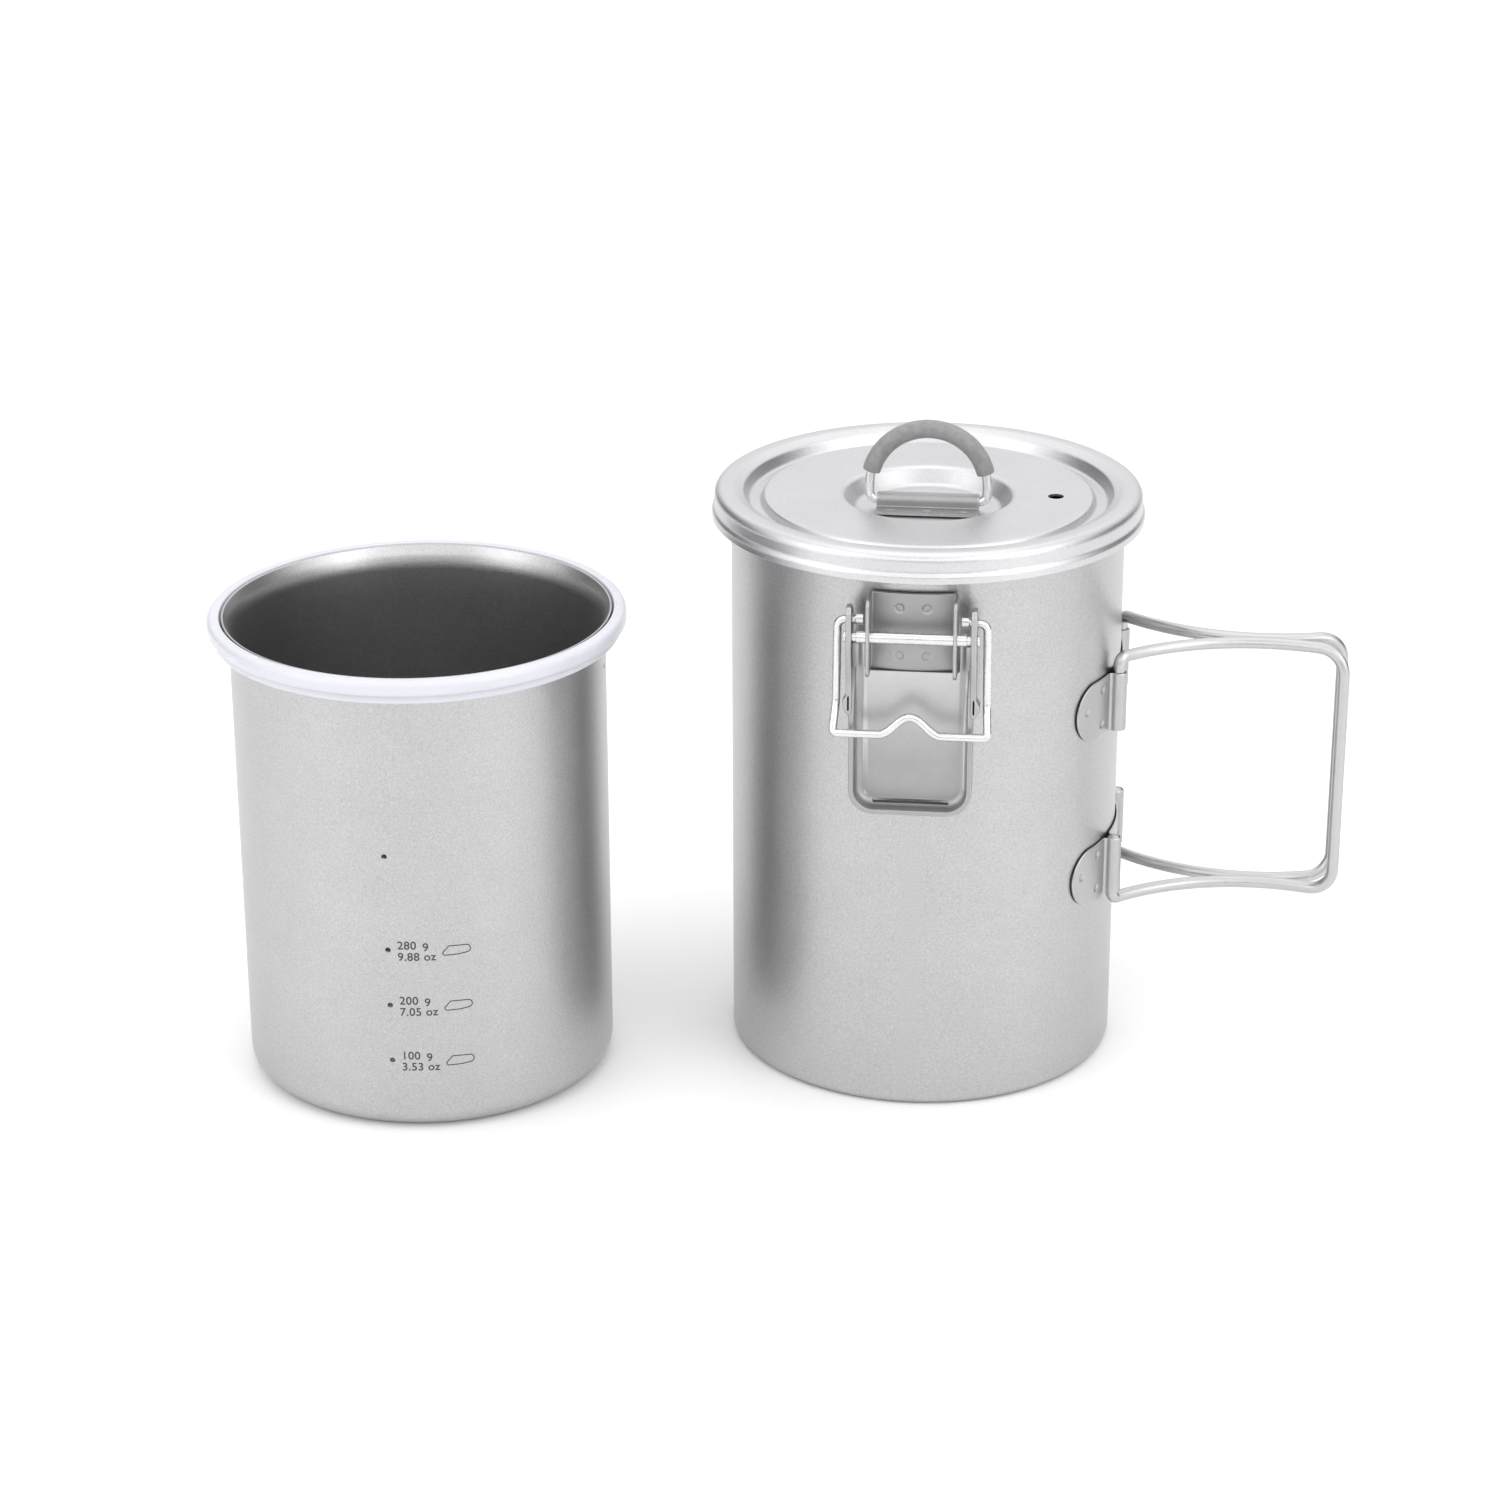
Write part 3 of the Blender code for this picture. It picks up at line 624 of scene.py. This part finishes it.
def lid():
    """Pressed sheet: a recess, a raised disc with its vent, a channel, a flat ring and a beaded skirt."""
    skirt, shoulder, t = LID_R - 0.6, 2.4, LID_SHEET
    channel = CHANNEL_Z + 0.1  # where it turns up to the ring
    outside = [((0, RECESS_FLOOR), 0), ((12, RECESS_FLOOR), 0), ((18.3, RECESS_FLOOR), 2.2)]
    outside += [((21.7, DISC_Z), 2.0), ((28, DISC_Z), 0), ((38, DISC_Z), 0)]
    outside += [((DISC_R + 0.3, DISC_Z), 0.8), ((DISC_R + 1.1, CHANNEL_Z), 0.8)]
    outside += [((45.6, channel), 1.3), ((46.8, 149.6), 1.2), ((49.4, LID_TOP), 3.0)]
    outside += [((skirt, LID_TOP), shoulder), ((skirt, 146.0), 1.5)]
    outside += [((LID_R, 145.0), 1.2), ((LID_R, LID_BASE), 0.3), ((LID_R - 0.5, LID_BASE), 0)]
    inside = [((skirt - t, LID_BASE), 0), ((skirt - t, LID_TOP - t), shoulder - t)]
    inside += [((49.8, LID_TOP - t), 2.0), ((47.3, 149.2), 0.8), ((46.1, channel - t), 1.5)]
    inside += [((DISC_R + 0.6, CHANNEL_Z - t), 0.4), ((DISC_R - 0.2, DISC_Z - t), 0.4)]
    inside += [((22.0, DISC_Z - t), 1.4), ((18.6, RECESS_FLOOR - t), 1.6), ((0, RECESS_FLOOR - t), 0)]
    profile = [tuple(p) for p in soft(outside, 9)] + [tuple(p) for p in soft(inside, 15)]
    made = lathe("lid_shell", profile, lit_lid_titanium)
    drill(made, (VENT_X, 0, DISC_Z), VENT_R, 6)
    belongs(made, "lid_body", "titanium", "lid")


def inner_pot():
    """A pot with a flared mouth and rounded base; its wall has rings of points close to each hole."""
    wall, corner = INNER_R - POT_WALL, INNER_CORNER
    levels = sorted(h + d for h in (*MARK_HEIGHTS, RIM_HOLE_Z) for d in (-1.3, 1.3))
    lip = [((wall, levels[-1]), 0), ((wall, INNER_H - 5.0), 9.0), ((wall + 0.7, INNER_H - 2.4), 6.0)]
    lip += [((INNER_MOUTH_R - POT_WALL, INNER_H - 0.1), 0.2), ((INNER_MOUTH_R, INNER_H), 0.25)]
    lip += [((INNER_R + 0.7, INNER_H - 2.6), 6.0), ((INNER_R, INNER_H - 5.2), 9.0)]
    lip += [((INNER_R, levels[-1]), 0)]
    profile = [(0, POT_WALL)] + arc((INNER_R - corner, corner), corner - POT_WALL, -90, 0, 7.5)
    profile += [(wall, z) for z in levels[:-1]] + [tuple(p) for p in soft(lip)]
    profile += [(INNER_R, z) for z in reversed(levels[:-1])]
    profile += arc((INNER_R - corner, corner), corner, 0, -90, 5) + [(0, 0)]
    made = lathe("inner_pot_shell", profile, titanium, INNER_AT)
    for height in MARK_HEIGHTS:
        drill(made, on_inner_wall(MARK_ALONG, height, 0), MARK_HOLE_R, 4, (90, 0, 0))
    drill(made, (INNER_AT[0] + INNER_R, INNER_AT[1], RIM_HOLE_Z), MARK_HOLE_R, 4, (0, 90, 0))
    belongs(made, "inner_pot_body", "titanium", "inner_pot")


def gasket():
    """A ring that follows the flare of the inner pot's mouth, with a lip that turns in below."""
    hold, top = INNER_R + 0.3, INNER_H + 0.2
    mouth = INNER_MOUTH_R + 0.3
    outline = [((hold, GASKET_BASE), 0.2), ((hold, INNER_H - 5.0), 2.0)]
    outline += [((hold + 0.75, INNER_H - 2.6), 2.0), ((mouth, INNER_H - 0.6), 0.5)]
    outline += [((mouth + 0.2, top), 0.25), ((GASKET_R, top), 1.6), ((GASKET_R, GASKET_BASE + 2.4), 1.1)]
    outline += [((GASKET_R - 1.6, GASKET_BASE + 2.0), 0.25), ((GASKET_R - 1.2, GASKET_BASE), 0.7)]
    profile = [tuple(p) for p in soft(outline, 15, closed=True)]
    made = lathe("gasket_seal", profile, gasket_rubber, INNER_AT, closed=True)
    belongs(made, "inner_pot_body", "clear_silicone", "gasket_ring")


def on_inner_wall(along, height, proud):
    """A point on the inner pot's wall, at a length round it from its front."""
    angle = math.radians(-90) + along / INNER_R
    radius = INNER_R + proud
    return INNER_AT[0] + radius * math.cos(angle), INNER_AT[1] + radius * math.sin(angle), height


def print_line(bm, text, tall, start, height):
    """One line of figures, laid flat, cut fine and wrapped round the pot's wall."""
    curve = bpy.data.curves.new("figures", "FONT")
    curve.body = text
    curve.size = tall / 0.7
    curve.space_character = 1.05
    curve.extrude = PRINT_DEPTH
    curve.offset = PRINT_WEIGHT
    holder = bpy.data.objects.new("figures", curve)
    bpy.context.scene.collection.objects.link(holder)
    bpy.context.view_layer.update()
    graph = bpy.context.evaluated_depsgraph_get()
    mesh = bpy.data.meshes.new_from_object(holder.evaluated_get(graph))
    bpy.data.objects.remove(holder, do_unlink=True)
    fresh = bmesh.new()
    fresh.from_mesh(mesh)
    for vert in fresh.verts:
        vert.co = on_inner_wall(start + vert.co.x, height + vert.co.y, PRINT_DEPTH + vert.co.z)
    fresh.to_mesh(mesh)
    fresh.free()
    bm.from_mesh(mesh)


def print_grain(bm, start, height):
    """The outline of a grain of rice, lying level with its tip to the left."""
    corners = [((-3.75, -0.6), 0.4), ((-2.0, 1.35), 0.7), ((3.5, 1.25), 1.2), ((3.75, -0.85), 1.1)]
    corners += [((0.5, -1.35), 3.0), ((-3.2, -1.4), 0.5)]
    outline = dense(soft(corners, 12, closed=True), 0.35)
    narrow = shrunk(outline, GRAIN_LINE)
    rings = []
    for proud, edge in ((0.005, outline), (0.03, outline), (0.03, narrow), (0.005, narrow)):
        rings.append([on_inner_wall(start + p.x, height + p.y, proud) for p in edge])
    loft(bm, rings, closed=True)


def measure_marks():
    """Grey print beside the lower three holes: grams, ounces and a grain of rice."""
    bm = bmesh.new()
    figures = (("100", "3.53 oz"), ("200", "7.05 oz"), ("280", "9.88 oz"))
    for height, (grams, ounces) in zip(MARK_HEIGHTS, figures):
        print_line(bm, grams, 2.15, MARK_ALONG + 2.35, height + 0.3)
        print_line(bm, "9", 2.2, MARK_ALONG + 8.6, height - 0.25)  # the g, drawn as a lowered 9
        print_line(bm, ounces, 2.15, MARK_ALONG + 2.35, height - 2.8)
        print_grain(bm, MARK_ALONG + 17.1, height - 0.35)
    made = finished("measure_marks", bm, ink)
    belongs(made, "inner_pot_body", "grey_silicone")


# ---------------------------------------------------------------- lid ring


def ring_arch(start, end, step=4.0):
    """The ring's arch, which stands on two short legs."""
    return [(x, 0, RING_Z + RING_LEG + z) for x, z in arc((0, 0), RING_ARCH_R, start, end, step)]


def lid_ring():
    """A D-shaped wire ring with a soft sleeve on its arch."""
    corner, foot = 1.9, RING_Z + RING_LEG
    low = [((-RING_HALF, 0, foot), 0), ((-RING_HALF, 0, RING_Z), corner)]
    low += [((RING_HALF, 0, RING_Z), corner), ((RING_HALF, 0, foot), 0)]
    path = soft(low, 8)[:-1] + [Vector(p) for p in ring_arch(0, 180)][:-1]
    made = wire("lid_ring_wire", path, round_section(RING_WIRE), bright_metal, up=(0, 1, 0), closed=True)
    belongs(made, "lid_ring_body", "wire_steel", "lid_ring")
    path, section = ring_arch(14, 166, 3.0), round_section(GRIP_R, 36)

    def tapered(from_end):
        """A little narrower over the last 0.6 mm."""
        by = 1 - 0.035 * max(0.0, 1 - from_end / 0.6)
        return by, by

    sleeve = wire("soft_grip", path, section, grip_rubber, up=(0, 1, 0), tip=0.06, shape=tapered)
    belongs(sleeve, "lid_ring_body", "grey_silicone", "ring_grip")


def lid_bracket():
    """A strip folded over the ring's bar, with its front flange welded in the recess."""
    sheet = LID_BRACKET_SHEET
    middle = RING_WIRE + 0.15 + sheet / 2
    floor = RECESS_FLOOR + WELD_GAP + sheet / 2
    path = [((LID_BRACKET_FRONT, floor), 0), ((-middle, floor), 0.55), ((-middle, RING_Z), 0)]
    path = soft(path)[:-1] + [Vector(p) for p in arc((0, RING_Z), middle, 180, 0)]
    path.append(Vector((middle, floor)))
    path.reverse()
    half = LID_BRACKET_HALF
    dents = [(running_lengths(path)[-1] - 1.9, x) for x in (-9.2, 0.0, 9.2)]
    made = sheet_strip(
        "lid_bracket_fold", path, (-half, half), 0.9, sheet, shaded_plate_metal, lambda y, z, x: (x, y, z), dents
    )
    belongs(made, "lid_body", "plate_steel", "lid_bracket")


# ---------------------------------------------------------------- hinge straps and handles


def strap_path():
    """The strap's middle line in plan, from the front end to the rear end."""
    base = POT_R + WELD_GAP + STRAP_SHEET / 2
    loop, fillet = HINGE_R - base, SLEEVE_FILLET
    reach = 2 * math.sqrt(loop * fillet)
    lean = math.degrees(math.atan2(loop - fillet, reach))
    foot = arc((0, 0), fillet, -90, lean, 12)[:-1]
    bulge = [(x - reach, fillet + h) for x, h in foot]
    bulge += [(x, loop + h) for x, h in arc((0, 0), loop, 180 + lean, -lean, 7)]
    bulge += [(reach - x, fillet + h) for x, h in reversed(foot)]
    pivot = math.radians(HINGE_AZ)
    end = pivot * base + D_END

    def placed(along, height, about):
        """A point at a length along the wall from the angle `about`, and at a height off it."""
        angle = about + along / (base + height)
        return (base + height) * math.cos(angle), (base + height) * math.sin(angle)

    def wall(start, stop):
        count = max(2, round(abs(stop - start) / 0.6))
        return [placed(start + (stop - start) * i / count, 0, 0) for i in range(count + 1)]

    near, far = pivot * base - reach, pivot * base + reach
    path = wall(end, far)[:-1]
    path += [placed(-x, h, pivot) for x, h in bulge]
    path += wall(near, -near)[1:-1]
    path += [placed(-x, h, -pivot) for x, h in bulge]
    path += wall(-far, -end)[1:]
    return path[::-1]


def hinge_strap(name, span, node):
    """A strap with D-shaped ends, two sleeves and three faint weld dimples at each end."""
    path = strap_path()
    total = running_lengths(path)[-1]
    middle = sum(span) / 2
    dents = []
    for from_end, height in ((11.3, 4.6), (11.3, -4.6), (3.9, 0.9)):
        dents += [(from_end, middle + height), (total - from_end, middle + height)]
    corner = (span[1] - span[0]) / 2 - 0.01
    made = sheet_strip(
        name, path, span, corner, STRAP_SHEET, strap_metal, lambda x, y, z: (x, y, z), dents, ringed=False
    )
    belongs(made, "root", "plate_steel", node)


def handle(name, hand, body, node):
    """A C-shaped loop, curved in plan; hand is -1 for the front one and 1 for the rear one."""
    middle, tall = (HANDLE_TOP + HANDLE_BASE) / 2, (HANDLE_TOP - HANDLE_BASE) / 2
    turn = 2 * math.asin(HANDLE_REACH / (2 * HANDLE_ARC_R))
    length = turn * HANDLE_ARC_R
    small, large = 1.9, 6.5
    pivot = math.radians(HINGE_AZ)
    hinge = Vector((HINGE_R * math.cos(pivot), hand * HINGE_R * math.sin(pivot)))

    def plan(along):
        """The plan of the arm, an arc, at a length from the hinge."""
        turned = along / HANDLE_ARC_R
        chord = 2 * HANDLE_ARC_R * math.sin(turned / 2)
        heading = math.radians(HANDLE_OPEN) + (turn - turned) / 2
        return hinge.x + chord * math.cos(heading), hinge.y - hand * chord * math.sin(heading)

    half = [(0, UPPER_SLEEVE[0] - middle + 0.3)]
    half += [(small + x, tall - small + z) for x, z in arc((0, 0), small, 180, 90, 10)]
    straight, steps = length - small - large, 40
    half += [(small + straight * i / steps, tall) for i in range(1, steps)]
    half += [(length - large + x, tall - large + z) for x, z in arc((0, 0), large, 90, 0, 6)]
    lower = [(along, -up) for along, up in reversed(half)]
    lower[-1] = (0, LOWER_SLEEVE[1] - middle - 0.3)
    path = [(*plan(along), middle + up) for along, up in half + lower]
    made = wire(name, path, square_section(HANDLE_WIRE), handle_metal, up=(1, -hand * 0.25, 0))
    belongs(made, body, "wire_steel", node)


# ---------------------------------------------------------------- latches


def turned_to(side):
    """What places a point of the front latch on this side of the pot."""
    sign = 1 if side == "front" else -1
    return lambda x, y, z: (sign * x, sign * y, z)


def latch_bracket(side, where):
    """A channel: a plate curved to the pot between two ears, with four weld dimples."""
    sheet = BRACKET_SHEET
    ear_x = BRACKET_HALF - sheet / 2
    plate_r = POT_R + WELD_GAP + sheet / 2
    wall = [(x * 0.5, -math.sqrt(plate_r**2 - (x * 0.5) ** 2)) for x in range(-18, 19)]
    corner_y = -math.sqrt(plate_r**2 - ear_x**2)
    path = [((-ear_x, BRACKET_FRONT), 0), ((-ear_x, corner_y), 1.5)] + [((x, y), 0) for x, y in wall]
    path += [((ear_x, corner_y), 1.5), ((ear_x, BRACKET_FRONT), 0)]
    path = soft(path)
    total = running_lengths(path)[-1]
    dents = [(total / 2 + x, z) for x in (-3.4, 3.4) for z in (135.7, 123.4)]
    name = side + "_bracket_channel"
    made = sheet_strip(name, path, BRACKET_Z, 2.2, sheet, shaded_plate_metal, where, dents)
    belongs(made, "root", "plate_steel", side + "_latch_bracket")


def latch_pin(side, where):
    """A stepped pin with small rivet heads."""
    profile = [((0, 16.6), 0), ((1.45, 16.6), 0.5), ((1.45, 15.95), 0.1), ((1.0, 15.95), 0)]
    profile += [((1.0, 14.3), 0), ((1.25, 14.3), 0), ((1.25, 13.5), 0), ((1.55, 13.5), 0.25)]
    profile += [((1.55, 6.0), 0)]
    right = [tuple(p) for p in soft(profile, 15)]
    full = right + [(r, -x) for r, x in reversed(right)]
    y, z = PIN_AT
    bm = bmesh.new()
    loft(bm, [[where(x, y + a, z + b) for a, b in circle(radius, WIRE_SIDES)] for radius, x in full])
    made = finished(side + "_pin_rod", bm, bright_metal)
    belongs(made, "root", "wire_steel", side + "_latch_pin")


def tray_line(inset):
    """The lever's outline, open at the top, as (x, z): straight sides and round bottom corners."""
    half, base, corner = LEVER_HALF - inset, LEVER_BASE + inset, max(0.4, LEVER_CORNER - inset)
    side = [LEVER_TOP - (LEVER_TOP - base - corner) * i / 6 for i in range(6)]
    line = [(-half, z) for z in side]
    line += arc((-half + corner, base + corner), corner, 180, 270, 6)
    line += [((half - corner) * i / 4, base) for i in range(-3, 4)]
    line += arc((half - corner, base + corner), corner, 270, 360, 6)
    line += [(half, z) for z in reversed(side)]
    return line


def lever_tray(bm, where):
    """The pressed tray: a flat pan that turns up through a soft fillet into a wall with a round edge."""
    back, front, t = LEVER_BACK, LEVER_FRONT, LEVER_SHEET
    fillet, edge = LEVER_FILLET, LEVER_EDGE
    pan_face = back - LEVER_PAN
    section = arc((t + fillet, pan_face - fillet), fillet, 90, 180, 10)
    section += arc((t - edge, front + edge), edge, 0, -90, 15)
    section += arc((edge, front + edge), edge, -90, -180, 15)
    section += [(0, back - 0.5), (0.15, back - 0.15), (0.5, back), (t + fillet, back)]

    def depth_at(z, y):
        """The wall is full height up to the bumps, and runs down to the pan above them."""
        low_wall = pan_face - 0.35
        share = min(1.0, max(0.0, (z - 113.0) / 4.0))
        share = share * share * (3 - 2 * share)
        return y if y > low_wall else y + (low_wall - y) * share

    rings = []
    for inset, y in section:
        rings.append([where(x, depth_at(z, y), z) for x, z in tray_line(inset)])
    made = loft(bm, rings, around=False)
    notch, pan_top = BRACKET_HALF + 0.6, BRACKET_Z[0] - 0.03
    corners = [((notch, LEVER_TOP), 0), ((notch, pan_top), 1.0)]
    corners += [((-notch, pan_top), 1.0), ((-notch, LEVER_TOP), 0)]
    cutout = soft(corners)
    fronts = [bm.verts.new(where(p.x, pan_face, p.y)) for p in cutout]
    backs = [bm.verts.new(where(p.x, back, p.y)) for p in cutout]
    bm.faces.new(made[0] + fronts)
    bm.faces.new(made[-1] + backs)
    for i in range(len(cutout) - 1):
        bm.faces.new((fronts[i], fronts[i + 1], backs[i + 1], backs[i]))
    bm.faces.new([ring[-1] for ring in made] + [backs[0], fronts[0]])
    bm.faces.new([ring[0] for ring in made] + [backs[-1], fronts[-1]])


def lever_ears(bm, where):
    """Two flat ears that carry the pin and the bail, each with a small bump pressed outwards."""
    y, z = PIN_AT
    back, front = LEVER_BACK, LEVER_FRONT
    ear = [((back, 110.0), 0.5), ((back, z + 5.3), 1.5), ((y + 1.6, z + 8.0), 1.4)]
    ear += [((y - 1.4, z + 8.0), 1.2), ((y - 2.6, z + 6.6), 1.0), ((y - 2.6, z - 1.6), 2.0)]
    ear += [((front, z - 11.0), 4.0), ((front, 110.0), 0.5)]
    ear = soft(ear, 12, closed=True)
    foot, crest = EAR_HALF - 1.2, EAR_HALF + 0.95
    for hand in (-1, 1):
        low, high = sorted((hand * EAR_HALF, hand * (EAR_HALF - EAR_SHEET)))
        plate(bm, ear, low, high, EAR_ROUNDING, lambda a, b, x: where(x, a, b))
        bump = [((hand * foot, 107.6), 0.6), ((hand * crest, 111.4), 1.0)]
        bump += [((hand * crest, 112.6), 1.0), ((hand * foot, 116.2), 0.6)]
        outline = soft(bump, 12, closed=True)
        plate(bm, outline, front, back - 1.4, 0.4, lambda a, b, depth: where(a, depth, b))


def lever(side, where):
    """The tray with a narrow slot cut near its end, joined by its two ears."""
    name = side + "_lever_plate"
    bm = bmesh.new()
    lever_tray(bm, where)
    tray = finished(name, bm, shaded_plate_metal)
    slot = bmesh.new()
    half, low, high = 9.5, LEVER_BASE + 1.75, LEVER_BASE + 2.75
    corners = ((-half, low), (half, low), (half, high), (-half, high))
    outline = soft([(corner, 0.4) for corner in corners], 20, closed=True)
    plate(slot, outline, LEVER_BACK - 4, LEVER_BACK + 1, 0.02, lambda x, z, y: where(x, y, z))
    cut(tray, finished("slot_tool", slot, shaded_plate_metal))
    full = bmesh.new()
    full.from_mesh(tray.data)
    bmesh.ops.scale(full, vec=(1 / MM,) * 3, verts=full.verts)
    bpy.data.objects.remove(tray, do_unlink=True)
    lever_ears(full, where)
    made = finished(name, full, shaded_plate_metal)
    weighted = made.modifiers.new("even_shading", "WEIGHTED_NORMAL")
    weighted.keep_sharp = True
    belongs(made, side + "_lever_body", "plate_steel", side + "_lever")


def bail(side, where):
    """The bail: hooked sides, a crossbar with a raised middle, and ends pressed flat in the ears."""
    y, z = BAIL_AT
    hook_y, hook_z = BAIL_HOOK
    bump_half, bump_steps = 7.6, 12
    corners = [((-12.0, y, z), 0), ((-BAIL_HALF, y, z), 2.0)]
    corners += [((-BAIL_HALF - 0.25, y - 0.4, hook_z + 6.5), 4.0)]
    corners += [((-19.0, hook_y, hook_z), 1.2), ((-bump_half, hook_y, hook_z), 0)]
    side_line = soft(corners, 8)
    end_points = [side_line[0] - Vector((0.2 * k, 0, 0)) for k in range(18)]  # close, for the pressed end
    left = end_points + side_line[1:]
    bump = []
    for i in range(1, 2 * bump_steps):
        x = bump_half * (i / bump_steps - 1)
        rise = BAIL_BUMP * (0.5 + 0.5 * math.cos(math.pi * x / bump_half))
        bump.append(Vector((x, hook_y, hook_z + rise)))
    right = [Vector((-p.x, p.y, p.z)) for p in reversed(left)]
    path = [where(*p) for p in left + bump + right]

    def pressed(from_end):
        """Flat and tall at the very end, and round from 2.1 mm on."""
        share = min(1.0, max(0.0, (from_end - 1.7) / 0.4))
        flat = (0.72, 1.38)
        return tuple(f + (1.0 - f) * share for f in flat)

    section = round_section(BAIL_WIRE)
    made = wire(side + "_bail_wire", path, section, bright_metal, tip=0.15, shape=pressed)
    belongs(made, side + "_bail_body", "wire_steel", side + "_bail")


# ---------------------------------------------------------------- studio

DOME_HORIZON, DOME_TOP = 0.62, 1.2
DOME_FLAGS = (  # direction, cosines where the patch starts and is full, times as bright as the dome
    ((-0.9, 0.42, 0.05), 0.8, 0.95, 0.15),
    ((0.9, 0.42, 0.05), 0.82, 0.96, 0.15),
    ((0.0, 0.9, 0.45), 0.7, 0.97, 1.35),
    ((0.9, -0.35, 0.2), 0.55, 0.97, 1.9),
    ((-0.85, -0.5, 0.2), 0.55, 0.97, 1.8),
    ((0.1, -1.0, 0.1), 0.7, 0.98, 0.75),
)


def sky_dome():
    """A white dome, brightest overhead, with darker and brighter patches at DOME_FLAGS."""
    dome = bpy.data.worlds.new("dome")
    dome.use_nodes = True
    tree = dome.node_tree
    background = tree.nodes["Background"]
    background.inputs["Color"].default_value = (1, 1, 1, 1)
    direction = tree.nodes.new("ShaderNodeTexCoord").outputs["Generated"]

    def product(a, b):
        node = tree.nodes.new("ShaderNodeMath")
        node.operation = "MULTIPLY"
        tree.links.new(a, node.inputs[0])
        tree.links.new(b, node.inputs[1])
        return node.outputs["Value"]

    def toward(aim, start, end, low, high):
        """low..high as the direction turns towards aim, between two cosines."""
        dot = tree.nodes.new("ShaderNodeVectorMath")
        dot.operation = "DOT_PRODUCT"
        tree.links.new(direction, dot.inputs[0])
        dot.inputs[1].default_value = Vector(aim).normalized()
        ramp = tree.nodes.new("ShaderNodeMapRange")
        ramp.interpolation_type = "SMOOTHSTEP"
        tree.links.new(dot.outputs["Value"], ramp.inputs["Value"])
        for key, value in (("From Min", start), ("From Max", end), ("To Min", low), ("To Max", high)):
            ramp.inputs[key].default_value = value
        return ramp.outputs["Result"]

    strength = toward((0, 0, 1), 0.0, 1.0, DOME_HORIZON, DOME_TOP)
    for aim, start, end, left in DOME_FLAGS:
        strength = product(strength, toward(aim, start, end, 1.0, left))
    tree.links.new(strength, background.inputs["Strength"])
    return dome


def studio():
    """A white floor, the dome, and soft boxes at the left, right, front and top."""
    scene = bpy.context.scene
    scene.view_settings.view_transform = "Standard"
    floor_mesh = bpy.data.meshes.new("floor")
    bm = bmesh.new()
    bmesh.ops.create_circle(bm, cap_ends=True, segments=96, radius=6.0)
    bm.to_mesh(floor_mesh)
    bm.free()
    floor = bpy.data.objects.new("floor", floor_mesh)
    scene.collection.objects.link(floor)
    floor.location.z = -0.0002
    paper = Nodes("white_paper")
    fibres = paper.noise(1.5, 2.0)
    paper.set(Base_Color=paper.tinted(paper.spread(fibres, 0.985, 1.0), (0.93, 0.93, 0.93)), Roughness=0.55)
    floor_mesh.materials.append(paper.material)

    scene.world = sky_dome()

    def box_light(name, at, aim, size, power):
        lamp = bpy.data.lights.new(name, "AREA")
        lamp.shape = "RECTANGLE"
        lamp.size, lamp.size_y = size
        lamp.energy = power
        made = bpy.data.objects.new(name, lamp)
        scene.collection.objects.link(made)
        made.location = at
        toward = Vector(aim) - Vector(at)
        made.rotation_euler = toward.to_track_quat("-Z", "Y").to_euler()

    middle = (-0.05, 0.0, 0.08)
    box_light("left_box", (-1.1, -0.9, 0.7), middle, (0.7, 1.2), 2.5)
    box_light("right_box", (1.0, -0.8, 0.8), middle, (0.6, 1.2), 3.0)
    box_light("front_box", (0.1, -1.9, 1.1), middle, (1.6, 0.8), 5.0)
    box_light("top_box", (-0.05, 0.1, 1.4), middle, (1.2, 1.0), 2.2)


def camera():
    """A long lens, 22 degrees above the set and a little to its right."""
    turn, pitch, roll = (math.radians(a) for a in (CAMERA_TURN, CAMERA_PITCH, CAMERA_ROLL))
    level = math.cos(pitch)
    forward = Vector((-math.sin(turn) * level, math.cos(turn) * level, -math.sin(pitch)))
    right = forward.cross(Vector((0, 0, 1))).normalized()
    up = right.cross(forward)
    rolled_right = right * math.cos(roll) + up * math.sin(roll)
    rolled_up = rolled_right.cross(forward)
    lens = bpy.data.cameras.new("camera")
    lens.lens, lens.sensor_width = CAMERA_LENS, CAMERA_SENSOR
    made = bpy.data.objects.new("camera", lens)
    bpy.context.scene.collection.objects.link(made)
    place = Matrix((rolled_right, rolled_up, -forward)).transposed().to_4x4()
    place.translation = Vector(CAMERA_PLACE)
    made.matrix_world = place
    bpy.context.scene.camera = made


camera()
studio()
outer_pot()
lid()
inner_pot()
gasket()
measure_marks()
lid_ring()
lid_bracket()
hinge_strap("upper_strap", UPPER_SLEEVE, "upper_hinge_strap")
hinge_strap("lower_strap", LOWER_SLEEVE, "lower_hinge_strap")
handle("front_loop", -1, "front_handle_body", "front_handle")
handle("rear_loop", 1, "rear_handle_body", "rear_handle")
for latch_side in ("front", "rear"):
    spot = turned_to(latch_side)
    latch_bracket(latch_side, spot)
    latch_pin(latch_side, spot)
    lever(latch_side, spot)
    bail(latch_side, spot)

bpy.context.view_layer.update()
